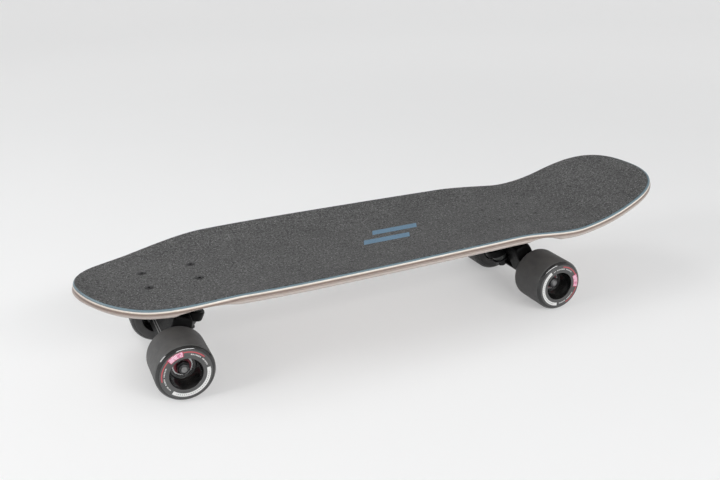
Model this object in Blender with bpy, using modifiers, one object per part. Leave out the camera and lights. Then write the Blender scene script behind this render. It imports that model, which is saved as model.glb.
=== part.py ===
"""Cruiser skateboard, each separate piece its own object.

Metres, +Z up, floor at z = 0. +X runs along the board towards the raised tail and
+Y across it. The nose, at -X, is the front, so the left wheels are the ones at -Y.
"""
import math

import bmesh
import bpy
from mathutils import Matrix, Vector

# Clearances, and how far a cutter or a joined shape runs past the face that it meets
GAP = 0.0003
BORE_GAP = 0.0002
CUT_REACH = 0.003
MERGE_DISTANCE = 0.00001

# Deck, seen from above. Distances along it count from the middle of the wheelbase.
WHEELBASE = 0.4576
NOSE_REACH = 0.3165
TAIL_REACH = 0.4009
DECK_THICKNESS = 0.0105
HALF_WIDTH_FRONT = 0.1022
HALF_WIDTH_REAR = 0.0850
WAIST_SWELL = 0.0087
WHEEL_FLARE = 0.0026
FLARE_STATION = 0.230
FLARE_REACH = 0.0344
NOSE_CURVE_START = 0.0075
NOSE_FULLNESS = 4.27
NOSE_ROUNDNESS = 1.81
TAIL_CURVE_START = 0.2866
TAIL_FULLNESS = 4.45
TAIL_ROUNDNESS = 2.46

# Deck, seen from the side and the end
FLAT_HALF_WIDTH = 0.032
FLAT_SHARE = 0.4
RAIL_LIFT = 0.0100
NOSE_RAIL_LIFT = 0.0016
TAIL_RAIL_LIFT = 0.0028
NOSE_FADE_START = 0.156
NOSE_FADE_LENGTH = 0.103
TAIL_FADE_START = 0.165
TAIL_FADE_LENGTH = 0.100
END_DISH_LENGTH = 0.050
NOSE_KICK_START = 0.250
NOSE_KICK_RADIUS = 0.222
NOSE_KICK_ANGLE = math.radians(45.0)
TAIL_KICK_START = 0.248
TAIL_KICK_RADIUS = 0.2345
TAIL_KICK_ANGLE = math.radians(19.0)
EDGE_ROUNDING = 0.0018

# Wheel wells sanded into the underside
NOSE_WELL_INBOARD = 0.0350
TAIL_WELL_INBOARD = 0.0300
WELL_INNER_EDGE = 0.052
WELL_TILT = math.radians(14.0)
WELL_LENGTH = 0.090
NOSE_WELL_RADIUS = 0.130
TAIL_WELL_RADIUS = 0.066

# Grip tape
GRIP_THICKNESS = 0.0008
GRIP_INSET = 0.0022

# Riser pads and mounting bolts
RISER_THICKNESS = 0.0030
BOLT_SPACING_X = 0.05398
BOLT_SPACING_Y = 0.04128
BOLT_LENGTH = 0.032
BOLT_RADIUS = 0.0024
BOLT_HEAD_RADIUS = 0.00485
BOLT_HEAD_ANGLE = math.radians(41.0)
BOLT_SOCKET_RADIUS = 0.0018
BOLT_SOCKET_DEPTH = 0.0020
LOCK_NUT_RADIUS = 0.0055
LOCK_NUT_HEIGHT = 0.0055

# Truck. The steering axis runs from the hanger's ring, inboard, up to the pivot, outboard.
TRUCK_HEIGHT = 0.0530
PLATE_INBOARD = 0.0119
STEER_ANGLE = math.radians(25.0)
RING_TO_AXLE = 0.0167
AXLE_DROP = 0.0306
RING_TO_PIVOT = 0.0500

# Baseplate
PLATE_LENGTH = 0.0850
PLATE_SHIFT = 0.0030
PLATE_WIDTH = 0.0550
PLATE_THICKNESS = 0.0055
PLATE_CORNER = 0.0080
SPINE_WIDTH = 0.0080
SPINE_DEPTH = 0.0050
KINGPIN_BOSS_RADIUS = 0.0135
KINGPIN_BOSS_FLARE = 0.0010
PIVOT_BOSS_RADIUS = 0.0115
PIVOT_BOSS_LENGTH = 0.0155
PIVOT_BOSS_CHAMFER = 0.0012

# Kingpin and what it holds
KINGPIN_RADIUS = 0.00475
KINGPIN_HEAD_RADIUS = 0.0080
KINGPIN_HEAD_HEIGHT = 0.0060
KINGPIN_SEAT = 0.0260
KINGPIN_TIP = 0.0020
KINGPIN_NUT_RADIUS = 0.00825
KINGPIN_NUT_HEIGHT = 0.0080
CUP_WASHER_THICKNESS = 0.0014
CUP_WASHER_RIM = 0.0016
BOARD_BUSHING_HEIGHT = 0.0130
BOARD_BUSHING_RADIUS = 0.0123
ROAD_BUSHING_HEIGHT = 0.0105
ROAD_BUSHING_RADIUS = 0.0118
ROAD_BUSHING_TIP_RADIUS = 0.0092
BUSHING_NUB = 0.0032
BUSHING_ROUNDING = 0.0012

# Hanger
RING_RADIUS = 0.0158
RING_HOLE_RADIUS = 0.0075
RING_HALF_THICKNESS = 0.0045
RING_ROUNDING = 0.0015
RING_SEAT_DEPTH = 0.0008
HANGER_HALF_WIDTH = 0.0535
HANGER_END_RADIUS = 0.0084
HANGER_COLLAR_LENGTH = 0.0096
HANGER_COLLAR_STEP = 0.0006
HANGER_TOP_RISE = 0.0100
SHOULDER_RISE = 0.0045
SHOULDER_SHARE = 0.76
SHOULDER_SQUARING = 0.5
HANGER_HALF_DEPTH = 0.0112
HANGER_BELLY = 0.0088
BUSHING_ROOM = 0.0024
NUT_ROOM = 0.0048
PIVOT_NECK_RADIUS = 0.0092
PIVOT_BALL_RADIUS = 0.0060
PIVOT_THROAT_RADIUS = 0.0051
PIVOT_CUP_WALL = 0.0021
PIVOT_CUP_MOUTH = 0.0040

# Axle and what is on it
AXLE_RADIUS = 0.00397
AXLE_STICKOUT = 0.0012
AXLE_CHAMFER = 0.0006
AXLE_NUT_RADIUS = 0.00733
AXLE_NUT_HEX_HEIGHT = 0.0046
AXLE_NUT_COLLAR_RADIUS = 0.0056
AXLE_NUT_COLLAR_HEIGHT = 0.0017
SPEED_WASHER_ROOM = 0.0007

# Ball bearings
BEARING_RADIUS = 0.0110
BEARING_WIDTH = 0.0070
BALL_CIRCLE_RADIUS = 0.0075
BALL_RADIUS = 0.0019
INNER_SHOULDER_RADIUS = 0.0061
OUTER_SHOULDER_RADIUS = 0.0093
GROOVE_SHARE = 0.80
SHIELD_THICKNESS = 0.0004
SPACER_LENGTH = 0.0094
SPACER_RADIUS = 0.0055

# Wheels
WHEEL_RADIUS = 0.0315
WHEEL_WIDTH = 0.0535
WHEEL_LIP = 0.0067
WHEEL_INNER_RECESS = 0.0105
HUB_MOUTH_RADIUS = 0.0172
HUB_MOUTH_EDGE = 0.0006
HUB_INNER_MOUTH_RADIUS = 0.0178
HUB_WAIST_RADIUS = 0.0135
BEARING_SINK = 0.0008
HUB_WEB_RADIUS = 0.0095

# Steps round the turned pieces, along the deck and through the hanger
WHEEL_STEPS = 24
BEARING_STEPS = 14
BOLT_STEPS = 10
HUB_STEPS = 14
RING_STEPS = 16
HANGER_RING_STEPS = 20
SMALL_STEPS = 12
WELL_STEPS = 48
NOSE_STATIONS = 12
MIDDLE_STATIONS = 9
TAIL_STATIONS = 8
ACROSS_STEPS = 3
WING_STEPS = 8
WING_POINTS = 16
SMOOTH_ANGLE = math.radians(35.0)
DECK_EDGE_ANGLE = math.radians(60.0)

# Places worked out from the sizes above
DECK_MIDDLE = (TAIL_REACH - NOSE_REACH) / 2
AXLE_HEIGHT = WHEEL_RADIUS
PLATE_TOP = AXLE_HEIGHT + TRUCK_HEIGHT
DECK_UNDERSIDE = PLATE_TOP + RISER_THICKNESS + 2 * GAP
DECK_TOP = DECK_UNDERSIDE + DECK_THICKNESS
GRIP_TOP = DECK_TOP + GAP + GRIP_THICKNESS
PLATE_BOTTOM = PLATE_TOP - PLATE_THICKNESS

BOARD_BUSHING_END = RING_HALF_THICKNESS + GAP + BOARD_BUSHING_HEIGHT
BOSS_SEAT = BOARD_BUSHING_END + CUP_WASHER_THICKNESS + 2 * GAP
ROAD_BUSHING_END = RING_HALF_THICKNESS + GAP + ROAD_BUSHING_HEIGHT
NUT_SEAT = ROAD_BUSHING_END + CUP_WASHER_THICKNESS + 2 * GAP
KINGPIN_END = NUT_SEAT + KINGPIN_NUT_HEIGHT + KINGPIN_TIP
PIVOT_CUP_BORE = PIVOT_BALL_RADIUS + GAP
PIVOT_CUP_RADIUS = PIVOT_CUP_BORE + PIVOT_CUP_WALL

# The stack along the axle, counted outwards from the middle of the truck
INNER_BEARING = HANGER_HALF_WIDTH + SPEED_WASHER_ROOM + 2 * GAP
SPACER_START = INNER_BEARING + BEARING_WIDTH + GAP
OUTER_BEARING = SPACER_START + SPACER_LENGTH + GAP
AXLE_NUT_SEAT = OUTER_BEARING + BEARING_WIDTH + SPEED_WASHER_ROOM + 2 * GAP
AXLE_NUT_HEIGHT = AXLE_NUT_HEX_HEIGHT + AXLE_NUT_COLLAR_HEIGHT
AXLE_HALF_LENGTH = AXLE_NUT_SEAT + AXLE_NUT_HEIGHT + AXLE_STICKOUT
WHEEL_INNER_FACE = INNER_BEARING - WHEEL_INNER_RECESS
WHEEL_CENTRE = WHEEL_INNER_FACE + WHEEL_WIDTH / 2


def clear_scene():
    """Remove whatever the opened file holds."""
    for old in list(bpy.data.objects):
        bpy.data.objects.remove(old, do_unlink=True)


def new_collection(name):
    """A collection of this name in the scene."""
    collection = bpy.data.collections.new(name)
    bpy.context.scene.collection.children.link(collection)
    return collection


clear_scene()
PARTS = new_collection("cruiser_skateboard")
CUTTERS = new_collection("cutters")


def material(name, colour, roughness, metallic=0.0):
    """A plain Principled material."""
    made = bpy.data.materials.new(name)
    made.use_nodes = True
    shader = made.node_tree.nodes["Principled BSDF"]
    shader.inputs["Base Color"].default_value = (*colour, 1.0)
    shader.inputs["Roughness"].default_value = roughness
    shader.inputs["Metallic"].default_value = metallic
    return made


MAPLE = material("pressed_maple", (0.62, 0.45, 0.33), 0.55)
GRIT = material("grip_grit", (0.09, 0.09, 0.09), 0.95)
RISER_RUBBER = material("riser_rubber", (0.03, 0.03, 0.03), 0.8)
BLACK_METAL = material("black_painted_metal", (0.025, 0.025, 0.028), 0.35, 0.6)
BLACK_STEEL = material("black_oxide_steel", (0.05, 0.05, 0.05), 0.4, 0.9)
BRIGHT_STEEL = material("bright_steel", (0.55, 0.55, 0.56), 0.28, 1.0)
BUSHING_RUBBER = material("bushing_urethane", (0.10, 0.12, 0.11), 0.5)
CUP_PLASTIC = material("pivot_cup_plastic", (0.03, 0.03, 0.03), 0.5)
WHEEL_URETHANE = material("wheel_urethane", (0.075, 0.075, 0.075), 0.45)


def place_object(name, data, collection, parent=None, place=(0, 0, 0), turn=(0, 0, 0)):
    """An object with this data, placed under its parent."""
    made = bpy.data.objects.new(name, data)
    collection.objects.link(made)
    made.parent = parent
    made.location = place
    made.rotation_euler = turn
    return made


def axis_empty(name, parent, place, turn=(0, 0, 0)):
    """An empty that stands on a joint's axis or carries a truck."""
    made = place_object(name, None, PARTS, parent, place, turn)
    made.empty_display_size = 0.02
    return made


def piece(name, mesh, finish, parent=None, place=(0, 0, 0), turn=(0, 0, 0)):
    """A finished piece, smooth where its faces meet at a small angle."""
    if not mesh.materials:
        mesh.materials.append(finish)
    mesh.shade_smooth()
    mesh.set_sharp_from_angle(angle=SMOOTH_ANGLE)
    return place_object(name, mesh, PARTS, parent, place, turn)


def copy_piece(source, name, parent):
    """A second piece with the same mesh, placed alike under another parent."""
    made = place_object(name, source.data, PARTS, parent)
    made.matrix_basis = source.matrix_basis.copy()
    return made


def cutter(name, mesh, parent=None, place=(0, 0, 0), turn=(0, 0, 0)):
    """A shape that cuts or joins a piece and isn't one itself."""
    made = place_object(name, mesh, CUTTERS, parent, place, turn)
    made.hide_render = True
    made.display_type = "WIRE"
    return made


def evaluated_mesh(source):
    """The mesh of an object with its modifiers applied."""
    bpy.context.view_layer.update()
    graph = bpy.context.evaluated_depsgraph_get()
    return bpy.data.meshes.new_from_object(source.evaluated_get(graph))


def settle(made):
    """Apply an object's modifiers to its mesh."""
    mesh = evaluated_mesh(made)
    made.modifiers.clear()
    made.data = mesh
    mesh.shade_smooth()
    mesh.set_sharp_from_angle(angle=SMOOTH_ANGLE)
    return made


def shape_by(made, operation, tools):
    """Join tools to a piece, or cut them out of it, one after the other."""
    for tool in tools:
        change = made.modifiers.new(tool.name, "BOOLEAN")
        change.operation = operation
        change.solver = "EXACT"
        change.object = tool
    return settle(made)


def turned(profile, steps, phase=0.0):
    """A mesh turned round Z from (radius, height) points that run down its outer side."""
    closed = profile[0][0] > 0
    points = [(r * math.cos(phase), r * math.sin(phase), h) for r, h in profile]
    edges = [(i, i + 1) for i in range(len(points) - 1)]
    if closed:
        edges.append((len(points) - 1, 0))
    mesh = bpy.data.meshes.new("turned")
    mesh.from_pydata(points, edges, [])
    holder = place_object("turning", mesh, CUTTERS)
    screw = holder.modifiers.new("turn", "SCREW")
    screw.axis = "Z"
    screw.angle = 2 * math.pi
    screw.steps = steps
    screw.render_steps = steps
    screw.use_merge_vertices = True
    screw.merge_threshold = MERGE_DISTANCE
    result = evaluated_mesh(holder)
    bpy.data.objects.remove(holder, do_unlink=True)
    return result


def washer_profile(inner, outer, bottom, top):
    """Profile of a plain ring between two radii and two heights."""
    return [(outer, top), (outer, bottom), (inner, bottom), (inner, top)]


def rod_profile(radius, bottom, top, chamfer=0.0):
    """Profile of a solid rod, chamfered at both ends if asked."""
    if chamfer == 0.0:
        return [(0, top), (radius, top), (radius, bottom), (0, bottom)]
    return [(0, top), (radius - chamfer, top), (radius, top - chamfer),
            (radius, bottom + chamfer), (radius - chamfer, bottom), (0, bottom)]


def arc(centre_r, centre_h, size_r, size_h, start, end, steps):
    """Points along an elliptic arc, angles in degrees from the radius direction."""
    points = []
    for k in range(steps + 1):
        angle = math.radians(start + (end - start) * k / steps)
        points.append((centre_r + size_r * math.cos(angle), centre_h + size_h * math.sin(angle)))
    return points


def prism(sides, radius, bottom, top):
    """An upright prism, such as a hexagon nut's body, with its corners at a radius."""
    shape = bmesh.new()
    bmesh.ops.create_cone(shape, cap_ends=True, segments=sides, radius1=radius, radius2=radius,
                          depth=top - bottom, matrix=Matrix.Translation((0, 0, (top + bottom) / 2)))
    mesh = bpy.data.meshes.new("prism")
    shape.to_mesh(mesh)
    shape.free()
    return mesh


def box(low, high, corner=0.0):
    """A box between two corners, with its upright edges rounded if asked."""
    size = Vector(high) - Vector(low)
    middle = (Vector(high) + Vector(low)) / 2
    shape = bmesh.new()
    place = Matrix.Translation(middle) @ Matrix.Diagonal((*size, 1.0))
    bmesh.ops.create_cube(shape, size=1.0, matrix=place)
    if corner > 0:
        upright = [e for e in shape.edges if abs(e.verts[0].co.z - e.verts[1].co.z) > size.z / 2]
        bmesh.ops.bevel(shape, geom=upright, offset=corner, segments=4, profile=0.5, affect="EDGES")
    mesh = bpy.data.meshes.new("box")
    shape.to_mesh(mesh)
    shape.free()
    return mesh


def group_of(mesh, places):
    """One cutter mesh that holds a copy of a shape at each place."""
    shape = bmesh.new()
    for place in places:
        copy = mesh.copy()
        copy.transform(Matrix.Translation(place))
        shape.from_mesh(copy)
        bpy.data.meshes.remove(copy)
    result = bpy.data.meshes.new("group")
    shape.to_mesh(result)
    shape.free()
    return result


def shaped_mesh(mesh, added=(), removed=()):
    """A mesh with some tool meshes joined to it and others cut out, all in the same frame."""
    body = place_object("body", mesh, CUTTERS)
    joins = [cutter("join", tool) for tool in added]
    cuts = [cutter("cut", tool) for tool in removed]
    if joins:
        shape_by(body, "UNION", joins)
    if cuts:
        shape_by(body, "DIFFERENCE", cuts)
    result = body.data
    for used in [body] + joins + cuts:
        bpy.data.objects.remove(used, do_unlink=True)
    return result


def smooth_step(share):
    """0 below 0, 1 above 1, and a smooth rise between."""
    share = min(max(share, 0.0), 1.0)
    return share * share * (3 - 2 * share)


def half_width(x):
    """Half the deck's width at a distance from the middle of the wheelbase."""
    along = (x + NOSE_REACH) / (NOSE_REACH + TAIL_REACH)
    taper = HALF_WIDTH_FRONT + (HALF_WIDTH_REAR - HALF_WIDTH_FRONT) * along
    swell = WAIST_SWELL * 4 * along * (1 - along)
    flare = WHEEL_FLARE * math.exp(-((x - FLARE_STATION) / FLARE_REACH) ** 2)
    to_nose = min(max((-x - NOSE_CURVE_START) / (NOSE_REACH - NOSE_CURVE_START), 0.0), 1.0)
    to_tail = min(max((x - TAIL_CURVE_START) / (TAIL_REACH - TAIL_CURVE_START), 0.0), 1.0)
    nose = (1 - to_nose ** NOSE_FULLNESS) ** (1 / NOSE_ROUNDNESS)
    tail = (1 - to_tail ** TAIL_FULLNESS) ** (1 / TAIL_ROUNDNESS)
    return (taper + swell + flare) * nose * tail


def kick_rise(distance, radius, angle):
    """Rise of a kick past its start: an arc up to the angle, then a straight slope."""
    arc_length = radius * math.sin(angle)
    if distance <= 0:
        return 0.0
    if distance < arc_length:
        return radius - math.sqrt(radius * radius - distance * distance)
    return radius * (1 - math.cos(angle)) + (distance - arc_length) * math.tan(angle)


def deck_rise(x, y):
    """How far the deck's top stands above its flat middle."""
    if x < 0:
        fade = smooth_step((-x - NOSE_FADE_START) / NOSE_FADE_LENGTH)
        lift = RAIL_LIFT + (NOSE_RAIL_LIFT - RAIL_LIFT) * fade
        to_tip = NOSE_REACH + x
        kick = kick_rise(-x - NOSE_KICK_START, NOSE_KICK_RADIUS, NOSE_KICK_ANGLE)
    else:
        fade = smooth_step((x - TAIL_FADE_START) / TAIL_FADE_LENGTH)
        lift = RAIL_LIFT + (TAIL_RAIL_LIFT - RAIL_LIFT) * fade
        to_tip = TAIL_REACH - x
        kick = kick_rise(x - TAIL_KICK_START, TAIL_KICK_RADIUS, TAIL_KICK_ANGLE)
    width = max(half_width(x), GAP)
    flat = min(FLAT_HALF_WIDTH, FLAT_SHARE * width)
    bowl = min(max((abs(y) - flat) / (width - flat), 0.0), 1.0) ** 2
    dish = smooth_step(1 - to_tip / END_DISH_LENGTH)
    return kick + lift * (1 - (1 - bowl) * (1 - dish))


def deck_stations():
    """Distances along the deck, closer together round the nose and the tail."""
    stations = []
    for k in range(NOSE_STATIONS, 0, -1):
        share = math.sin(math.pi / 2 * k / NOSE_STATIONS) ** (2 / NOSE_FULLNESS)
        stations.append(-NOSE_CURVE_START - share * (NOSE_REACH - NOSE_CURVE_START))
    for k in range(MIDDLE_STATIONS):
        share = k / MIDDLE_STATIONS
        stations.append(share * (TAIL_CURVE_START + NOSE_CURVE_START) - NOSE_CURVE_START)
    for k in range(TAIL_STATIONS + 1):
        share = math.sin(math.pi / 2 * k / TAIL_STATIONS) ** (2 / TAIL_FULLNESS)
        stations.append(TAIL_CURVE_START + share * (TAIL_REACH - TAIL_CURVE_START))
    return stations


def outline_point(x, inset):
    """The outline's point at a station, moved in along the outline's normal."""
    width = half_width(x)
    if inset == 0:
        return x, width
    if width < 1e-6:
        return x - math.copysign(inset, x), 0.0
    step = 1e-5
    slope = (half_width(x + step) - half_width(x - step)) / (2 * step)
    length = math.hypot(1, slope)
    return x + inset * slope / length, width - inset / length


def deck_sheet(inset, rise):
    """An open sheet over the deck's plan, a distance in from its edge and above its top."""
    shape = bmesh.new()
    rows = []
    for x in deck_stations():
        px, width = outline_point(x, inset)
        if width < 1e-6:
            places = [0.0]
        else:
            flat = min(FLAT_HALF_WIDTH, FLAT_SHARE * width)
            side = [flat + (width - flat) * k / ACROSS_STEPS for k in range(ACROSS_STEPS + 1)]
            places = [-y for y in reversed(side)] + side
        rows.append([shape.verts.new((px - DECK_MIDDLE, y, DECK_TOP + rise + deck_rise(px, y)))
                     for y in places])
    for near, far in zip(rows, rows[1:]):
        for k in range(max(len(near), len(far)) - 1):
            if len(near) == 1:
                shape.faces.new((near[0], far[k], far[k + 1]))
            elif len(far) == 1:
                shape.faces.new((near[k], far[0], near[k + 1]))
            else:
                shape.faces.new((near[k], far[k], far[k + 1], near[k + 1]))
    bmesh.ops.recalc_face_normals(shape, faces=shape.faces)
    shape.faces.ensure_lookup_table()
    if shape.faces[0].normal.z < 0:
        bmesh.ops.reverse_faces(shape, faces=shape.faces)
    mesh = bpy.data.meshes.new("sheet")
    shape.to_mesh(mesh)
    shape.free()
    return mesh


def bolt_places():
    """The four mounting bolts' places under a truck's frame, on the axle's level."""
    return [Vector((-PLATE_INBOARD + i * BOLT_SPACING_X / 2, j * BOLT_SPACING_Y / 2, 0))
            for i in (-1, 1) for j in (-1, 1)]


def head_depth(radius):
    """How far below its widest circle a bolt's cone reaches a radius."""
    return (BOLT_HEAD_RADIUS - radius) / math.tan(BOLT_HEAD_ANGLE)


def bolt_mesh():
    """A countersunk bolt with its lock nut, the head's face at z = 0, with a hexagon socket."""
    body = turned([(0, 0), (BOLT_HEAD_RADIUS, 0), (BOLT_HEAD_RADIUS, -GAP),
                   (BOLT_RADIUS, -GAP - head_depth(BOLT_RADIUS)), (BOLT_RADIUS, -BOLT_LENGTH),
                   (0, -BOLT_LENGTH)], BOLT_STEPS)
    nut_top = PLATE_BOTTOM - GAP - GRIP_TOP
    nut = prism(6, LOCK_NUT_RADIUS, nut_top - LOCK_NUT_HEIGHT, nut_top)
    socket = prism(6, BOLT_SOCKET_RADIUS, -BOLT_SOCKET_DEPTH, BOLT_SOCKET_DEPTH)
    return shaped_mesh(body, [nut], [socket])


def bolt_hole_mesh():
    """What a bolt takes out of the grip tape, the deck and the riser."""
    wide = BOLT_HEAD_RADIUS + GAP
    narrow = BOLT_RADIUS + GAP
    return turned([(0, BOLT_LENGTH), (wide, BOLT_LENGTH), (wide, -GAP),
                   (narrow, -GAP - head_depth(BOLT_RADIUS)), (narrow, -BOLT_LENGTH),
                   (0, -BOLT_LENGTH)], BOLT_STEPS)


def nut_mesh(corner_radius, hole_radius, height):
    """A hexagon nut with a plain bore, its seat at z = 0."""
    hole = turned(rod_profile(hole_radius, -height, 2 * height), SMALL_STEPS)
    return shaped_mesh(prism(6, corner_radius, 0, height), removed=[hole])


def plate_mesh(bottom, top):
    """The outline that the baseplate and the riser share, at a truck's frame."""
    middle = -PLATE_INBOARD - PLATE_SHIFT
    return box((middle - PLATE_LENGTH / 2, -PLATE_WIDTH / 2, bottom),
               (middle + PLATE_LENGTH / 2, PLATE_WIDTH / 2, top), PLATE_CORNER)


def build_deck(truck_frames):
    """The deck and the grip tape, with their bolt holes and wheel wells."""
    holes = []
    for end, frame in truck_frames.items():
        places = [p + Vector((0, 0, GRIP_TOP - AXLE_HEIGHT)) for p in bolt_places()]
        holes.append(cutter(end + "_bolt_holes", group_of(bolt_hole_mesh(), places), frame))
    wells = []
    for end, radius, inboard in (("front", NOSE_WELL_RADIUS, NOSE_WELL_INBOARD),
                                 ("rear", TAIL_WELL_RADIUS, TAIL_WELL_INBOARD)):
        for side in (-1, 1):
            reach = Vector((-inboard, side * WELL_INNER_EDGE, DECK_UNDERSIDE - AXLE_HEIGHT))
            tilt = side * (WELL_TILT - math.pi / 2)
            along = Vector((0, side * math.cos(WELL_TILT), math.sin(WELL_TILT)))
            down = Vector((0, side * math.sin(WELL_TILT), -math.cos(WELL_TILT)))
            centre = reach + along * WELL_LENGTH / 2 + down * radius
            drum = turned(rod_profile(radius, -WELL_LENGTH / 2, WELL_LENGTH / 2),
                          WELL_STEPS, math.pi / WELL_STEPS)
            wells.append(cutter(end + "_well", drum, truck_frames[end], centre, (tilt, 0, 0)))
    deck = piece("deck", deck_sheet(0.0, 0.0), MAPLE)
    wood = deck.modifiers.new("thickness", "SOLIDIFY")
    wood.thickness = DECK_THICKNESS
    wood.offset = -1.0
    wood.use_even_offset = True
    edge = deck.modifiers.new("edge", "BEVEL")
    edge.width = EDGE_ROUNDING
    edge.segments = 1
    edge.limit_method = "ANGLE"
    edge.angle_limit = DECK_EDGE_ANGLE
    shape_by(deck, "DIFFERENCE", wells + holes)
    grip = piece("grip_tape", deck_sheet(GRIP_INSET, GAP), GRIT)
    tape = grip.modifiers.new("thickness", "SOLIDIFY")
    tape.thickness = GRIP_THICKNESS
    tape.offset = 1.0
    tape.use_even_offset = True
    shape_by(grip, "DIFFERENCE", holes)


def baseplate_piece(name, frame, steer):
    """The baseplate with its kingpin boss, pivot boss, spine and bores."""
    top = TRUCK_HEIGHT
    underside = top - PLATE_THICKNESS
    plate = piece(name, plate_mesh(underside, top + CUT_REACH), BLACK_METAL, frame)
    head_end = KINGPIN_SEAT + KINGPIN_HEAD_HEIGHT
    above = head_end + 2 * KINGPIN_HEAD_HEIGHT
    flare = KINGPIN_BOSS_RADIUS + KINGPIN_BOSS_FLARE
    boss = cutter("kingpin_boss", turned([
        (0, above), (flare, above), (flare, head_end), (KINGPIN_BOSS_RADIUS, BOSS_SEAT),
        (KINGPIN_BOSS_RADIUS, BOSS_SEAT - CUT_REACH), (0, BOSS_SEAT - CUT_REACH)], RING_STEPS), steer)
    along_x = (0, math.pi / 2, 0)
    mouth = RING_TO_PIVOT - PIVOT_CUP_MOUTH
    socket = cutter("pivot_boss", turned(rod_profile(
        PIVOT_BOSS_RADIUS, mouth, mouth + PIVOT_BOSS_LENGTH, PIVOT_BOSS_CHAMFER), RING_STEPS),
        steer, (0, 0, 0), along_x)
    plate_middle = -PLATE_INBOARD - PLATE_SHIFT
    spine_half = PLATE_LENGTH / 2 - PLATE_CORNER
    spine = cutter("spine", box(
        (plate_middle - spine_half, -SPINE_WIDTH / 2, underside - SPINE_DEPTH),
        (plate_middle + spine_half, SPINE_WIDTH / 2, underside + PLATE_THICKNESS / 2)), frame)
    shape_by(plate, "UNION", [boss, socket, spine])
    far = PLATE_LENGTH
    trim = cutter("plate_top_trim", box((-far, -far, top), (far, far, top + far)), frame)
    washer_room = BOARD_BUSHING_RADIUS + GAP + CUP_WASHER_RIM + GAP
    bore = KINGPIN_RADIUS + BORE_GAP
    recess = KINGPIN_HEAD_RADIUS + GAP
    kingpin_bore = cutter("kingpin_bore", turned([
        (0, 2 * above), (recess, 2 * above), (recess, KINGPIN_SEAT - GAP), (bore, KINGPIN_SEAT - GAP),
        (bore, BOSS_SEAT), (washer_room, BOSS_SEAT), (washer_room, 0), (0, 0)],
        RING_STEPS, math.pi / RING_STEPS), steer)
    cup_end = RING_TO_PIVOT + PIVOT_CUP_RADIUS + GAP
    cup_bore = cutter("pivot_cup_bore", turned(rod_profile(
        PIVOT_CUP_RADIUS + GAP, mouth - PIVOT_BOSS_LENGTH, cup_end), RING_STEPS),
        steer, (0, 0, 0), along_x)
    bolt_bores = cutter("plate_bolt_bores", group_of(turned(rod_profile(
        BOLT_RADIUS + GAP, 0, 2 * top), BOLT_STEPS), bolt_places()), frame)
    return shape_by(plate, "DIFFERENCE", [trim, bolt_bores, kingpin_bore, cup_bore])


def hanger_sections():
    """Sections of the hanger across the board: place, middle height, half height, half depth, bend.

    Each arm is a tall squared web as far as its shoulder, and falls from there to the round collar.
    The bend is 1 for a round section, and less for one with flatter sides.
    """
    collar = HANGER_END_RADIUS + HANGER_COLLAR_STEP
    collar_place = HANGER_HALF_WIDTH - HANGER_COLLAR_LENGTH
    sections = []
    for k in range(WING_STEPS + 1):
        share = k / WING_STEPS
        fade = smooth_step(share)
        fall = smooth_step((share - SHOULDER_SHARE) / (1 - SHOULDER_SHARE))
        web = HANGER_TOP_RISE + (SHOULDER_RISE - HANGER_TOP_RISE) * smooth_step(share / SHOULDER_SHARE)
        top = web + (collar - AXLE_DROP - web) * fall
        bottom = -AXLE_DROP - HANGER_BELLY + (HANGER_BELLY - collar) * fade
        depth = HANGER_HALF_DEPTH + (collar - HANGER_HALF_DEPTH) * fall
        bend = SHOULDER_SQUARING + (1 - SHOULDER_SQUARING) * fall
        sections.append((share * collar_place, (top + bottom) / 2, (top - bottom) / 2, depth, bend))
    for place in (HANGER_HALF_WIDTH - HANGER_COLLAR_LENGTH / 2, HANGER_HALF_WIDTH):
        sections.append((place, -AXLE_DROP, HANGER_END_RADIUS, HANGER_END_RADIUS, 1.0))
    return sections


def bent(wave, bend):
    """A sine or cosine, pushed outwards to flatten the sides of a section."""
    return math.copysign(abs(wave) ** bend, wave)


def hanger_body_mesh():
    """A loft through the hanger's unlike sections, from one end to the other."""
    shape = bmesh.new()
    half = hanger_sections()
    stations = [(-section[0], *section[1:]) for section in reversed(half[1:])] + half
    points = WING_POINTS
    rings = []
    for y, middle, half_height, half_depth, bend in stations:
        ring = []
        for k in range(points):
            angle = 2 * math.pi * k / points
            across = half_depth * bent(math.cos(angle), bend)
            upward = half_height * bent(math.sin(angle), bend)
            ring.append(shape.verts.new((RING_TO_AXLE + across, y, middle + upward)))
        rings.append(ring)
    for near, far in zip(rings, rings[1:]):
        for k in range(points):
            after = (k + 1) % points
            shape.faces.new((near[k], near[after], far[after], far[k]))
    shape.faces.new(rings[0])
    shape.faces.new(rings[-1])
    bmesh.ops.recalc_face_normals(shape, faces=shape.faces)
    mesh = bpy.data.meshes.new("hanger_body")
    shape.to_mesh(mesh)
    shape.free()
    return mesh


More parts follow.
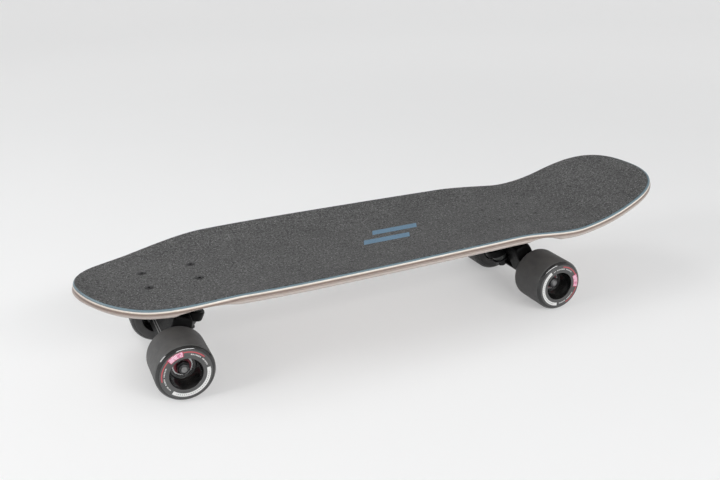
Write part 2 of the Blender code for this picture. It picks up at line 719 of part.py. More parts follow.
def hanger_piece(name, steer):
    """The hanger: axle housing, ring and pivot nose in one casting."""
    hanger = piece(name, hanger_body_mesh(), BLACK_METAL, steer)
    half = RING_HALF_THICKNESS
    lip = half + RING_SEAT_DEPTH
    ring = cutter("ring", turned([
        (0, lip), (RING_RADIUS - RING_ROUNDING, lip), (RING_RADIUS, lip - RING_ROUNDING),
        (RING_RADIUS, RING_ROUNDING - lip), (RING_RADIUS - RING_ROUNDING, -lip), (0, -lip)],
        HANGER_RING_STEPS, math.pi / HANGER_RING_STEPS), steer)
    ball = arc(0, RING_TO_PIVOT, PIVOT_BALL_RADIUS, PIVOT_BALL_RADIUS, 90, -20, 6)
    ball[0] = (0, RING_TO_PIVOT + PIVOT_BALL_RADIUS)
    neck_end = RING_TO_PIVOT - PIVOT_CUP_MOUTH - 2 * GAP
    nose = cutter("pivot_nose", turned(ball + [
        (PIVOT_THROAT_RADIUS, neck_end), (PIVOT_NECK_RADIUS, RING_TO_AXLE + HANGER_HALF_DEPTH),
        (PIVOT_NECK_RADIUS, RING_TO_AXLE), (0, RING_TO_AXLE)], HUB_STEPS),
        steer, (0, 0, 0), (0, math.pi / 2, 0))
    shape_by(hanger, "UNION", [ring, nose])
    hole = cutter("ring_hole", turned(rod_profile(
        RING_HOLE_RADIUS, -2 * half, 2 * half), RING_STEPS), steer)
    board_room = cutter("board_bushing_room", turned(rod_profile(
        BOARD_BUSHING_RADIUS + BUSHING_ROOM, half, half + 3 * HANGER_TOP_RISE), RING_STEPS), steer)
    road_room = cutter("road_bushing_room", turned([
        (0, -half), (BOARD_BUSHING_RADIUS + BUSHING_ROOM, -half),
        (BOARD_BUSHING_RADIUS + BUSHING_ROOM, -NUT_SEAT - GAP),
        (KINGPIN_NUT_RADIUS + NUT_ROOM, -NUT_SEAT - GAP),
        (KINGPIN_NUT_RADIUS + NUT_ROOM, -KINGPIN_END - NUT_ROOM),
        (0, -KINGPIN_END - NUT_ROOM)], RING_STEPS), steer)
    axle_bore = cutter("axle_bore", turned(rod_profile(
        AXLE_RADIUS + BORE_GAP, -2 * HANGER_HALF_WIDTH, 2 * HANGER_HALF_WIDTH), SMALL_STEPS),
        steer, (RING_TO_AXLE, 0, -AXLE_DROP), (math.pi / 2, 0, 0))
    return shape_by(hanger, "DIFFERENCE", [hole, board_room, road_room, axle_bore])


def kingpin_mesh():
    """The kingpin: a hexagon head and a round shank, along the steering frame's Z."""
    head = prism(6, KINGPIN_HEAD_RADIUS, KINGPIN_SEAT, KINGPIN_SEAT + KINGPIN_HEAD_HEIGHT)
    shank = turned(rod_profile(KINGPIN_RADIUS, -KINGPIN_END, KINGPIN_SEAT + KINGPIN_HEAD_HEIGHT / 2,
                               KINGPIN_TIP / 2), SMALL_STEPS)
    return shaped_mesh(head, [shank])


def bushing_profile(seat, height, base_radius, tip_radius, upward):
    """A rubber bushing with a nub that centres it in the hanger's ring."""
    inner = KINGPIN_RADIUS + GAP
    nub = RING_HOLE_RADIUS - GAP
    soft = BUSHING_ROUNDING
    side = [(inner, 0), (nub, 0), (nub, BUSHING_NUB), (base_radius - soft, BUSHING_NUB),
            (base_radius, BUSHING_NUB + soft), (tip_radius, BUSHING_NUB + height - soft),
            (tip_radius - soft, BUSHING_NUB + height), (inner, BUSHING_NUB + height)]
    start = seat - BUSHING_NUB
    if upward:
        return [(r, start + h) for r, h in reversed(side)]
    return [(r, -start - h) for r, h in side]


def cup_washer_profile(seat, upward):
    """A dished washer whose rim turns towards its bushing."""
    inner = KINGPIN_RADIUS + GAP
    thick = CUP_WASHER_THICKNESS
    flat = (BOARD_BUSHING_RADIUS if upward else ROAD_BUSHING_TIP_RADIUS) + GAP
    rim = flat + CUP_WASHER_RIM
    side = [(inner, thick), (flat, thick), (rim, -CUP_WASHER_RIM / 2),
            (flat, -CUP_WASHER_RIM / 2), (flat, 0), (inner, 0)]
    if upward:
        return [(r, seat + h) for r, h in side]
    return [(r, -seat - h) for r, h in reversed(side)]


def pivot_cup_profile():
    """A cup with a round hollow for the pivot ball, its mouth at the low end."""
    start = RING_TO_PIVOT - PIVOT_CUP_MOUTH
    end = RING_TO_PIVOT + PIVOT_CUP_RADIUS
    hollow = arc(0, RING_TO_PIVOT, PIVOT_CUP_BORE, PIVOT_CUP_BORE, 0, 90, 4)
    hollow[-1] = (0, RING_TO_PIVOT + PIVOT_CUP_BORE)
    return [(0, end), (PIVOT_CUP_RADIUS, end), (PIVOT_CUP_RADIUS, start),
            (PIVOT_CUP_BORE, start)] + hollow


def axle_nut_mesh():
    """A lock nut with a round collar, its seat at z = 0."""
    collar = turned(rod_profile(AXLE_NUT_COLLAR_RADIUS, AXLE_NUT_HEX_HEIGHT / 2, AXLE_NUT_HEIGHT,
                                AXLE_CHAMFER), SMALL_STEPS)
    hole = turned(rod_profile(AXLE_RADIUS + BORE_GAP, -AXLE_NUT_HEIGHT, 2 * AXLE_NUT_HEIGHT),
                  SMALL_STEPS)
    return shaped_mesh(prism(6, AXLE_NUT_RADIUS, 0, AXLE_NUT_HEX_HEIGHT), [collar], [hole])


def build_first_truck(end, frame, steer, axle):
    """The pieces of one truck, in place under its frame, steering axis and axle."""
    pieces = {}

    def add(name, mesh, finish, parent, place=(0, 0, 0), turn=(0, 0, 0)):
        pieces[name] = piece(end + "_" + name, mesh, finish, parent, place, turn)

    along_x = (0, math.pi / 2, 0)
    across = (math.pi / 2, 0, 0)
    pieces["baseplate"] = baseplate_piece(end + "_baseplate", frame, steer)
    pieces["hanger"] = hanger_piece(end + "_hanger", steer)
    riser_bottom = TRUCK_HEIGHT + GAP
    bolts = [p + Vector((0, 0, GRIP_TOP - AXLE_HEIGHT)) for p in bolt_places()]
    add("riser_pad", shaped_mesh(plate_mesh(riser_bottom, riser_bottom + RISER_THICKNESS),
                                 removed=[group_of(bolt_hole_mesh(), bolts)]), RISER_RUBBER, frame)
    bolt = bolt_mesh()
    for number, place in enumerate(bolts, 1):
        add(f"mounting_bolt_{number}", bolt, BLACK_STEEL, frame, place)
    add("pivot_cup", turned(pivot_cup_profile(), HUB_STEPS), CUP_PLASTIC, steer, (0, 0, 0), along_x)
    add("kingpin", kingpin_mesh(), BLACK_STEEL, steer)
    add("kingpin_nut", nut_mesh(KINGPIN_NUT_RADIUS, KINGPIN_RADIUS + BORE_GAP, KINGPIN_NUT_HEIGHT),
        BLACK_STEEL, steer, (0, 0, -NUT_SEAT - KINGPIN_NUT_HEIGHT))
    add("board_bushing", turned(bushing_profile(
        RING_HALF_THICKNESS + GAP, BOARD_BUSHING_HEIGHT, BOARD_BUSHING_RADIUS,
        BOARD_BUSHING_RADIUS, True), HUB_STEPS), BUSHING_RUBBER, steer)
    add("road_bushing", turned(bushing_profile(
        RING_HALF_THICKNESS + GAP, ROAD_BUSHING_HEIGHT, ROAD_BUSHING_RADIUS,
        ROAD_BUSHING_TIP_RADIUS, False), HUB_STEPS), BUSHING_RUBBER, steer)
    add("board_cup_washer", turned(cup_washer_profile(BOARD_BUSHING_END + GAP, True), HUB_STEPS),
        BLACK_STEEL, steer)
    add("road_cup_washer", turned(cup_washer_profile(ROAD_BUSHING_END + GAP, False), HUB_STEPS),
        BLACK_STEEL, steer)
    add("axle", turned(rod_profile(AXLE_RADIUS, -AXLE_HALF_LENGTH, AXLE_HALF_LENGTH, AXLE_CHAMFER),
                       SMALL_STEPS), BRIGHT_STEEL, axle, (0, 0, 0), across)
    nut = axle_nut_mesh()
    add("axle_nut_1", nut, BLACK_STEEL, axle, (0, -AXLE_NUT_SEAT, 0), across)
    add("axle_nut_2", nut, BLACK_STEEL, axle, (0, AXLE_NUT_SEAT, 0), (-math.pi / 2, 0, 0))
    return pieces


def wheel_profile():
    """The urethane wheel, its facets at the wheel's radius and its outer face on top."""
    radius = WHEEL_RADIUS / math.cos(math.pi / WHEEL_STEPS)
    top = WHEEL_WIDTH / 2
    lip = WHEEL_LIP
    inner_face = INNER_BEARING - WHEEL_CENTRE
    outer_face = OUTER_BEARING + BEARING_WIDTH - WHEEL_CENTRE
    seat = BEARING_RADIUS + GAP
    mouth_edge = HUB_MOUTH_EDGE
    outer_edge = arc(radius - lip, top - lip, lip, lip, 90, 0, 3)
    inner_edge = arc(radius - lip, lip - top, lip, lip, 0, -90, 3)
    return ([(HUB_MOUTH_RADIUS + mouth_edge, top)] + outer_edge + inner_edge
            + [(HUB_INNER_MOUTH_RADIUS, -top),
               (HUB_WAIST_RADIUS, inner_face - BEARING_SINK), (seat, inner_face - BEARING_SINK),
               (seat, SPACER_START - WHEEL_CENTRE), (HUB_WEB_RADIUS, SPACER_START - WHEEL_CENTRE),
               (HUB_WEB_RADIUS, OUTER_BEARING - GAP - WHEEL_CENTRE),
               (seat, OUTER_BEARING - GAP - WHEEL_CENTRE), (seat, outer_face + BEARING_SINK),
               (HUB_WAIST_RADIUS, outer_face + BEARING_SINK), (HUB_MOUTH_RADIUS, top - mouth_edge)])


def outer_ring_profile():
    """A bearing's outer ring with its ball groove, and its shield on the upper side."""
    half = BEARING_WIDTH / 2
    shoulder = OUTER_SHOULDER_RADIUS
    groove = BALL_CIRCLE_RADIUS + BALL_RADIUS + BORE_GAP
    narrow = BALL_RADIUS * GROOVE_SHARE
    shield = INNER_SHOULDER_RADIUS + GAP
    return [(BEARING_RADIUS, half), (BEARING_RADIUS, -half), (shoulder, -half), (shoulder, -narrow),
            (groove, 0), (shoulder, narrow), (shoulder, half - SHIELD_THICKNESS),
            (shield, half - SHIELD_THICKNESS), (shield, half)]


def inner_ring_profile():
    """A bearing's inner ring with its ball groove."""
    half = BEARING_WIDTH / 2
    shoulder = INNER_SHOULDER_RADIUS
    groove = BALL_CIRCLE_RADIUS - BALL_RADIUS - BORE_GAP
    narrow = BALL_RADIUS * GROOVE_SHARE
    bore = AXLE_RADIUS + BORE_GAP
    return [(shoulder, half), (shoulder, narrow), (groove, 0), (shoulder, -narrow),
            (shoulder, -half), (bore, -half), (bore, half)]


def build_first_wheel(name, axis):
    """The pieces of one wheel, its outer face towards the axis empty's +Z."""
    inner = INNER_BEARING + BEARING_WIDTH / 2 - WHEEL_CENTRE
    outer = OUTER_BEARING + BEARING_WIDTH / 2 - WHEEL_CENTRE
    pieces = {}

    def add(key, mesh, finish, height=0.0, turn=(0, 0, 0)):
        pieces[key] = piece(name + "_" + key, mesh, finish, axis, (0, 0, height), turn)

    add("wheel", turned(wheel_profile(), WHEEL_STEPS, math.pi / WHEEL_STEPS), WHEEL_URETHANE)
    ring = turned(outer_ring_profile(), BEARING_STEPS)
    race = turned(inner_ring_profile(), SMALL_STEPS)
    add("outboard_bearing_outer_ring", ring, BRIGHT_STEEL, outer)
    add("inboard_bearing_outer_ring", ring, BRIGHT_STEEL, inner, (math.pi, 0, 0))
    add("outboard_bearing_inner_ring", race, BRIGHT_STEEL, outer)
    add("inboard_bearing_inner_ring", race, BRIGHT_STEEL, inner)
    bore = AXLE_RADIUS + BORE_GAP
    add("bearing_spacer", turned(washer_profile(bore, SPACER_RADIUS, 0, SPACER_LENGTH), SMALL_STEPS),
        BRIGHT_STEEL, SPACER_START - WHEEL_CENTRE)
    return pieces


def build():
    """The whole board: frames first, then the pieces that stand on them."""
    pivot_line = Vector((math.cos(STEER_ANGLE), 0, math.sin(STEER_ANGLE)))
    up_kingpin = Vector((-math.sin(STEER_ANGLE), 0, math.cos(STEER_ANGLE)))
    ring_centre = up_kingpin * AXLE_DROP - pivot_line * RING_TO_AXLE
    frames, steers, axles, wheel_axes = {}, {}, {}, {}
    for end, way in (("front", -1), ("rear", 1)):
        middle = (way * WHEELBASE / 2 - DECK_MIDDLE, 0, AXLE_HEIGHT)
        half_turn = (0, 0, math.pi if way < 0 else 0)
        frames[end] = axis_empty(end + "_truck_frame", None, middle, half_turn)
        steers[end] = axis_empty(end + "_steering_axis", frames[end], ring_centre,
                                 (0, -STEER_ANGLE, 0))
        axles[end] = axis_empty(end + "_axle_axis", steers[end], (RING_TO_AXLE, 0, -AXLE_DROP),
                                (0, STEER_ANGLE, 0))
        for side, across in (("left", -way), ("right", way)):
            wheel_axes[end + "_" + side] = axis_empty(
                end + "_" + side + "_wheel_axis", axles[end], (0, across * WHEEL_CENTRE, 0),
                (-across * math.pi / 2, 0, 0))
    build_deck(frames)
    first = build_first_truck("front", frames["front"], steers["front"], axles["front"])
    matching = {frames["front"]: frames["rear"], steers["front"]: steers["rear"],
                axles["front"]: axles["rear"]}
    for key, source in first.items():
        copy_piece(source, "rear_" + key, matching[source.parent])
    wheel = build_first_wheel("front_left", wheel_axes["front_left"])
    for name in ("front_right", "rear_left", "rear_right"):
        for key, source in wheel.items():
            copy_piece(source, name + "_" + key, wheel_axes[name])


build()
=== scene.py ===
"""The looks of a cruiser skateboard: its finished pieces, their finishes, the light and the view.

Metres, +Z up, floor at z = 0. +X runs along the board towards the raised tail.
"""
import math

import bmesh
import bpy
import numpy as np
from mathutils import Matrix, Vector


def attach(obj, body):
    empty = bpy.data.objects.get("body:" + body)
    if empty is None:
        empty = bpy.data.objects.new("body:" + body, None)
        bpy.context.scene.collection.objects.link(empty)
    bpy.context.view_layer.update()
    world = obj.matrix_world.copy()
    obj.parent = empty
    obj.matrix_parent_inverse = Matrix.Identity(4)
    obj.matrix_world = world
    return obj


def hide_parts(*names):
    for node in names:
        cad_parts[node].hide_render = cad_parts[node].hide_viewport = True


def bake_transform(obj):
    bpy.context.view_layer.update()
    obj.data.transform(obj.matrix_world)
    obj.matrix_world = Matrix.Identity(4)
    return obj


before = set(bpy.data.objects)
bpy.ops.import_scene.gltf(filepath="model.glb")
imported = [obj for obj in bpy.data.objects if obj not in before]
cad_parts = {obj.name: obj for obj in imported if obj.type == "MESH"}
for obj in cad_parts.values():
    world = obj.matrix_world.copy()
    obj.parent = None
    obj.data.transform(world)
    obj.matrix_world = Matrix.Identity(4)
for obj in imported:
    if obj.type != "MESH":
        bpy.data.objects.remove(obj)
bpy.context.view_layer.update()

# Deck, seen from above. Distances along it count from the middle of the wheelbase.
WHEELBASE = 0.4576
NOSE_REACH = 0.3165
TAIL_REACH = 0.4009
DECK_THICKNESS = 0.0105
HALF_WIDTH_FRONT = 0.10201
HALF_WIDTH_REAR = 0.0850
WAIST_SWELL = 0.0087
WHEEL_FLARE = 0.0026
FLARE_STATION = 0.230
FLARE_REACH = 0.0344
NOSE_CURVE_START = 0.0075
NOSE_FULLNESS = 4.27
NOSE_ROUNDNESS = 1.81
TAIL_CURVE_START = 0.2866
TAIL_FULLNESS = 4.45
TAIL_ROUNDNESS = 2.46
DECK_MIDDLE = (TAIL_REACH - NOSE_REACH) / 2

# Deck, seen from the side and the end
FLAT_HALF_WIDTH = 0.032
FLAT_SHARE = 0.4
RAIL_LIFT = 0.0100
NOSE_RAIL_LIFT = 0.0016
TAIL_RAIL_LIFT = 0.0028
NOSE_FADE_START = 0.156
NOSE_FADE_LENGTH = 0.103
TAIL_FADE_START = 0.165
TAIL_FADE_LENGTH = 0.100
END_DISH_LENGTH = 0.050
NOSE_KICK_START = 0.250
NOSE_KICK_RADIUS = 0.222
NOSE_KICK_ANGLE = math.radians(45.0)
TAIL_KICK_START = 0.248
TAIL_KICK_RADIUS = 0.2345
TAIL_KICK_ANGLE = math.radians(19.0)
TOP_EASING = 0.0011
UNDER_EASING = 0.0044
TIP_UNDER_EASING = 0.0054
TIP_EASING_LENGTH = 0.120
TIP_CRISP_LENGTH = 0.016
TIP_CRISP_EASING = 0.0024
UNDER_EASING_SHARE = 0.62
EASING_ROWS = 5
UNDER_EASING_ROWS = 8
DEPTH_ROUNDS = 6

# Wheel wells sanded into the underside
NOSE_WELL_INBOARD = 0.0350
TAIL_WELL_INBOARD = 0.0300
WELL_INNER_EDGE = 0.052
WELL_TILT = math.radians(14.0)
WELL_LENGTH = 0.090
NOSE_WELL_RADIUS = 0.130
TAIL_WELL_RADIUS = 0.066
WELL_EASING = 0.0004

# Grip tape, riser pads and mounting bolts
GAP = 0.0003
GRIP_THICKNESS = 0.0008
GRIP_INSET = 0.0022
GRIP_RAGGED = 0.00012
GRIP_NOSE_TRIM = 0.0012
GRIP_NOSE_LENGTH = 0.045
GRIP_BREAK = 0.3
GRIP_HOVER = GAP / 6
GRIP_SEED = 5
RISER_THICKNESS = 0.0030
BOLT_SPACING_X = 0.05398
BOLT_SPACING_Y = 0.04128
BOLT_LENGTH = 0.032
BOLT_RADIUS = 0.0024
BOLT_HEAD_RADIUS = 0.00485
BOLT_HEAD_ANGLE = math.radians(41.0)
BOLT_SOCKET_RADIUS = 0.0018
BOLT_SOCKET_DEPTH = 0.0020
BOLT_RIM_WIDTH = 0.0002
BOLT_RIM_DROP = 0.0001
DRILL_PAST = 0.010
BOLT_THREAD = 0.0008
LOCK_NUT_RADIUS = 0.0055
LOCK_NUT_HEX_HEIGHT = 0.0038
LOCK_NUT_COLLAR_RADIUS = 0.0042
LOCK_NUT_COLLAR_HEIGHT = 0.0017

# Trucks. The steering axis runs from the hanger's ring, inboard, up to the pivot, outboard.
TRUCK_HEIGHT = 0.0530
PLATE_INBOARD = 0.0119
STEER_ANGLE = math.radians(25.0)
RING_TO_AXLE = 0.0167
AXLE_DROP = 0.0306
RING_TO_PIVOT = 0.0500
PLATE_LENGTH = 0.0850
PLATE_SHIFT = 0.0030
PLATE_WIDTH = 0.0550
PLATE_THICKNESS = 0.0055
PLATE_CORNER = 0.0080
PLATE_TRIM = 0.0030
PLATE_FACING = 0.0002
SPINE_WIDTH = 0.0080
SPINE_DEPTH = 0.0050
KINGPIN_BOSS_RADIUS = 0.0135
KINGPIN_BOSS_FLARE = 0.0010
PIVOT_BOSS_RADIUS = 0.0115
PIVOT_BOSS_LENGTH = 0.0155
PIVOT_BOSS_CHAMFER = 0.0012
KINGPIN_RADIUS = 0.00475
KINGPIN_HEAD_RADIUS = 0.0080
KINGPIN_HEAD_HEIGHT = 0.0060
KINGPIN_SEAT = 0.0260
KINGPIN_TIP = 0.0020
KINGPIN_TIP_SHARE = 0.75
KINGPIN_THREAD = 0.0011
KINGPIN_NUT_RADIUS = 0.00825
KINGPIN_NUT_HEX_HEIGHT = 0.0062
KINGPIN_NUT_COLLAR_RADIUS = 0.0065
KINGPIN_NUT_COLLAR_HEIGHT = 0.0018
CUP_WASHER_THICKNESS = 0.0014
CUP_WASHER_RIM = 0.0016
CUP_WASHER_DISH = 0.0004
CUP_WASHER_EASING = 0.0005
BOARD_BUSHING_HEIGHT = 0.0130
BOARD_BUSHING_RADIUS = 0.0123
ROAD_BUSHING_HEIGHT = 0.0105
ROAD_BUSHING_RADIUS = 0.0118
ROAD_BUSHING_TIP_RADIUS = 0.0092
BUSHING_NUB = 0.0032
BUSHING_BELLY = 0.0006
BUSHING_EASING = 0.0006
BUSHING_STEPS = 12
RING_RADIUS = 0.0158
RING_HOLE_RADIUS = 0.0075
RING_HALF_THICKNESS = 0.0045
RING_ROUNDING = 0.0015
RING_SEAT_DEPTH = 0.0008
HANGER_HALF_WIDTH = 0.0535
HANGER_END_RADIUS = 0.0084
HANGER_COLLAR_LENGTH = 0.0096
HANGER_COLLAR_STEP = 0.0006
HANGER_TOP_RISE = 0.0100
SHOULDER_RISE = 0.0062
SHOULDER_SHARE = 0.84
SHOULDER_SQUARING = 0.36
HANGER_HALF_DEPTH = 0.0112
HANGER_BELLY = 0.0088
RIB_RADIUS = 0.0007
RIB_HEIGHTS = (-0.0285, -0.0247)
RIB_HALF_LENGTH = 0.0325
RIB_END_SHARE = 0.7
BUSHING_ROOM = 0.0024
NUT_ROOM = 0.0048
PIVOT_NECK_RADIUS = 0.0092
PIVOT_BALL_RADIUS = 0.0060
PIVOT_THROAT_RADIUS = 0.0051
PIVOT_CUP_WALL = 0.0021
PIVOT_CUP_MOUTH = 0.0040
PIVOT_CUP_EASING = 0.0008

# Axle, its nuts and the bearings
AXLE_RADIUS = 0.00397
AXLE_STICKOUT = 0.0012
AXLE_THREAD = 0.00106
AXLE_THREAD_LENGTH = 0.0115
AXLE_TIP_SHARE = 0.78
AXLE_NUT_RADIUS = 0.00733
AXLE_NUT_HEX_HEIGHT = 0.0046
AXLE_NUT_COLLAR_RADIUS = 0.0056
AXLE_NUT_COLLAR_HEIGHT = 0.0017
SPEED_WASHER_ROOM = 0.0007
SPEED_WASHER_RADIUS = 0.0058
SPEED_WASHER_EASING = 0.0002
BEARING_RADIUS = 0.0110
BEARING_WIDTH = 0.0070
BALL_CIRCLE_RADIUS = 0.0075
BALL_RADIUS = 0.0019
BALL_COUNT = 7
INNER_SHOULDER_RADIUS = 0.0061
OUTER_SHOULDER_RADIUS = 0.0093
SHIELD_SINK = 0.00035
SHIELD_THICKNESS = 0.0004
SHIELD_INNER_ROOM = 0.00025
SHIELD_OUTER_ROOM = 0.00005
SHIELD_LIP_DROP = 0.0001
SHIELD_LIP_WIDTH = 0.0007
SHIELD_LIP_END = 0.0010
SHIELD_EASING = 0.0001
RACE_EASING = 0.0003
GROOVE_ROOM = 0.00002
GROOVE_SHARE = 0.8
GROOVE_STEPS = 9
CAGE_HALF_WALL = 0.0007
CAGE_FOOT = 0.0002
CAGE_HEIGHT_SHARE = 0.35
CAGE_EASING = 0.0002
CAGE_POCKET_SHARE = 1.06
SPACER_LENGTH = 0.0094
SPACER_RADIUS = 0.0055

# Wheels
WHEEL_RADIUS = 0.0315
WHEEL_WIDTH = 0.0535
WHEEL_LIP = 0.0067
WHEEL_INNER_RECESS = 0.0105
GROUND_LIP = 0.0036
GROUND_DEPTH = 0.0016
GROUND_FACE_REACH = 0.0032
FACE_DEPTH = 0.0005
HUB_MOUTH_RADIUS = 0.0172
HUB_MOUTH_EDGE = 0.0014
HUB_INNER_MOUTH_RADIUS = 0.0178
HUB_WAIST_RADIUS = 0.0135
BEARING_SINK = 0.0008
HUB_WEB_RADIUS = 0.0095
HUB_EASING = 0.0004
LIP_STEPS = 16
MOUTH_STEPS = 6

# Places worked out from the sizes above
AXLE_HEIGHT = WHEEL_RADIUS
PLATE_TOP = AXLE_HEIGHT + TRUCK_HEIGHT
PLATE_BOTTOM = PLATE_TOP - PLATE_THICKNESS
DECK_UNDERSIDE = PLATE_TOP + RISER_THICKNESS + 2 * GAP
DECK_TOP = DECK_UNDERSIDE + DECK_THICKNESS
GRIP_TOP = DECK_TOP + GAP + GRIP_THICKNESS
BOARD_BUSHING_END = RING_HALF_THICKNESS + GAP + BOARD_BUSHING_HEIGHT
BOSS_SEAT = BOARD_BUSHING_END + CUP_WASHER_THICKNESS + 2 * GAP
ROAD_BUSHING_END = RING_HALF_THICKNESS + GAP + ROAD_BUSHING_HEIGHT
NUT_SEAT = ROAD_BUSHING_END + CUP_WASHER_THICKNESS + 2 * GAP
KINGPIN_NUT_HEIGHT = KINGPIN_NUT_HEX_HEIGHT + KINGPIN_NUT_COLLAR_HEIGHT
KINGPIN_END = NUT_SEAT + KINGPIN_NUT_HEIGHT + KINGPIN_TIP
PIVOT_CUP_BORE = PIVOT_BALL_RADIUS + GAP
PIVOT_CUP_RADIUS = PIVOT_CUP_BORE + PIVOT_CUP_WALL
INNER_BEARING = HANGER_HALF_WIDTH + SPEED_WASHER_ROOM + 2 * GAP
SPACER_START = INNER_BEARING + BEARING_WIDTH + GAP
OUTER_BEARING = SPACER_START + SPACER_LENGTH + GAP
AXLE_NUT_SEAT = OUTER_BEARING + BEARING_WIDTH + SPEED_WASHER_ROOM + 2 * GAP
AXLE_NUT_HEIGHT = AXLE_NUT_HEX_HEIGHT + AXLE_NUT_COLLAR_HEIGHT
AXLE_HALF_LENGTH = AXLE_NUT_SEAT + AXLE_NUT_HEIGHT + AXLE_STICKOUT
WHEEL_INNER_FACE = INNER_BEARING - WHEEL_INNER_RECESS
WHEEL_CENTRE = WHEEL_INNER_FACE + WHEEL_WIDTH / 2

# How finely the pieces are made
TURN_STEPS = 96
BOLT_STEPS = 40
BALL_STEPS = 16
RIB_STEPS = 16
STATION_STEP = 0.0026
TIP_ZONE = 0.030
TIP_STATIONS = 22
ACROSS_COLUMNS = 76
WING_STEPS = 30
WING_POINTS = 72
CASTING_VOXEL = 0.00055
CASTING_SOFTENING = 7
CASTING_SHARE = 0.45
SMOOTH_ANGLE = math.radians(38.0)
MERGE_DISTANCE = 1e-7
ON_AXIS = 1e-9
CORNER_STEPS = 3
CORNER_SHARE = 0.45


# Nodes

class Signal:
    """What a node puts out, reckoned with like a number."""

    def __init__(self, socket):
        self.socket = socket
        self.tree = socket.id_data

    def __add__(self, other):
        return maths("ADD", self, other)

    def __radd__(self, other):
        return maths("ADD", other, self)

    def __sub__(self, other):
        return maths("SUBTRACT", self, other)

    def __rsub__(self, other):
        return maths("SUBTRACT", other, self)

    def __mul__(self, other):
        return maths("MULTIPLY", self, other)

    def __truediv__(self, other):
        return maths("DIVIDE", self, other)

    def __gt__(self, other):
        return maths("GREATER_THAN", self, other)

    def __lt__(self, other):
        return maths("LESS_THAN", self, other)

    def __abs__(self):
        return maths("ABSOLUTE", self)


def feed(sockets, values):
    """Set each named socket, or link it where its value is a signal."""
    for name, value in values.items():
        if isinstance(value, Signal):
            value.tree.links.new(value.socket, sockets[name])
        else:
            sockets[name].default_value = value


def node(tree, kind, values=None, **settings):
    """A shader node of this kind, with its settings and what its sockets hold."""
    made = tree.nodes.new("ShaderNode" + kind)
    for name, value in settings.items():
        setattr(made, name, value)
    feed(made.inputs, values or {})
    return made


def signal(tree, kind, values=None, which=0, **settings):
    """One output of a new node, by its name or number."""
    return Signal(node(tree, kind, values, **settings).outputs[which])


def all_signals(made):
    """All outputs of a node, by name."""
    return {socket.name: Signal(socket) for socket in made.outputs}


def signals(tree, kind, values=None, **settings):
    """All outputs of a new node, by name."""
    return all_signals(node(tree, kind, values, **settings))


def tree_of(*values):
    """The tree that the first signal among these values lies in."""
    return next(value.tree for value in values if isinstance(value, Signal))


def maths(operation, *values):
    """The result of a Math node."""
    return signal(tree_of(*values), "Math", dict(enumerate(values)), operation=operation)


def mixed(mask, first, second, blend_type="MIX"):
    """The second colour over the first where the mask is 1."""
    return signal(tree_of(mask, first, second), "Mix", {0: mask, 6: first, 7: second}, 2,
                  data_type="RGBA", blend_type=blend_type)


def spread(value, low, high, to_low=0.0, to_high=1.0, soft=False):
    """A value's range from low to high mapped to another, and held at its ends."""
    return signal(value.tree, "MapRange", {0: value, 1: low, 2: high, 3: to_low, 4: to_high},
                  interpolation_type="SMOOTHSTEP" if soft else "LINEAR")


def colour(red, green, blue):
    """A plain colour with full cover."""
    return (red, green, blue, 1.0)


def grey(shade):
    """A plain grey."""
    return colour(shade, shade, shade)


def on_object(tree):
    """Places in the object's own axes."""
    return signal(tree, "TexCoord", which="Object")


def stretched_place(tree, stretch):
    """Places on the object, stretched along its axes."""
    return signal(tree, "Mapping", {"Vector": on_object(tree), "Scale": stretch})


def surface_normal(tree):
    """The way the surface faces, without its relief."""
    return signal(tree, "NewGeometry", which="Normal")


def split(vector):
    """A vector's parts, by the names of the axes."""
    return signals(vector.tree, "SeparateXYZ", {0: vector})


def noise(where, scale, detail, distortion=0.0):
    """Cloudy noise around 0.5."""
    return signal(where.tree, "TexNoise", {"Vector": where, "Scale": scale, "Detail": detail,
                                           "Distortion": distortion})


def effect_group(inputs, lay_out):
    """A shader node group: its named inputs, and the named results that a function lays out."""
    tree = bpy.data.node_groups.new(lay_out.__name__, "ShaderNodeTree")
    kinds = {4: "Color", 3: "Vector"}
    for name, value in inputs.items():
        kind = kinds[len(value)] if isinstance(value, tuple) else "Float"
        made = tree.interface.new_socket(name, in_out="INPUT", socket_type="NodeSocket" + kind)
        made.default_value = value
    results = lay_out(tree, all_signals(tree.nodes.new("NodeGroupInput")))
    for name, value in results.items():
        kind = "Color" if value.socket.type == "RGBA" else "Float"
        tree.interface.new_socket(name, in_out="OUTPUT", socket_type="NodeSocket" + kind)
    feed(tree.nodes.new("NodeGroupOutput").inputs, results)
    return tree


def placed(tree, group, values=None):
    """The outputs of an effect group placed in a material."""
    return signals(tree, "Group", values, node_tree=group)


def mottle(tree, coming):
    """Cloudy change between two colours, as in a poured or dyed material."""
    cloud = noise(stretched_place(tree, coming["Stretch"]), coming["Scale"], 5.0)
    mask = spread(cloud, 0.5 - coming["Contrast"], 0.5 + coming["Contrast"], soft=True)
    return {"Colour": mixed(mask, coming["Dark"], coming["Light"]), "Mask": mask}


def grain(tree, coming):
    """Fine uneven relief, stretched along a direction where the tool or the wood ran."""
    where = stretched_place(tree, coming["Stretch"])
    return {"Height": noise(where, coming["Scale"], 3.0) + noise(where, coming["Scale"] * 0.22, 2.0)}


def worn_and_highlit_edge(tree, coming):
    """A mask of the outer edges, broken up in patches: partly worn edges, partly a painted edge highlight."""
    softened = signal(tree, "Bevel", {"Radius": coming["Reach"]}, samples=4)
    match = signal(tree, "VectorMath", {0: softened, 1: surface_normal(tree)}, "Value",
                   operation="DOT_PRODUCT")
    patches = noise(on_object(tree), coming["Scale"], 4.0)
    return {"Mask": spread(match, 0.995, 0.93) * spread(patches, 0.42, 0.62)}


def dust(tree, coming):
    """A thin film of dust on what faces up, thicker in patches."""
    lying = spread(split(surface_normal(tree))["Z"], 0.1, 1.0)
    patches = noise(on_object(tree), 60.0, 6.0)
    return {"Mask": lying * spread(patches, 0.35, 0.75) * coming["Amount"]}


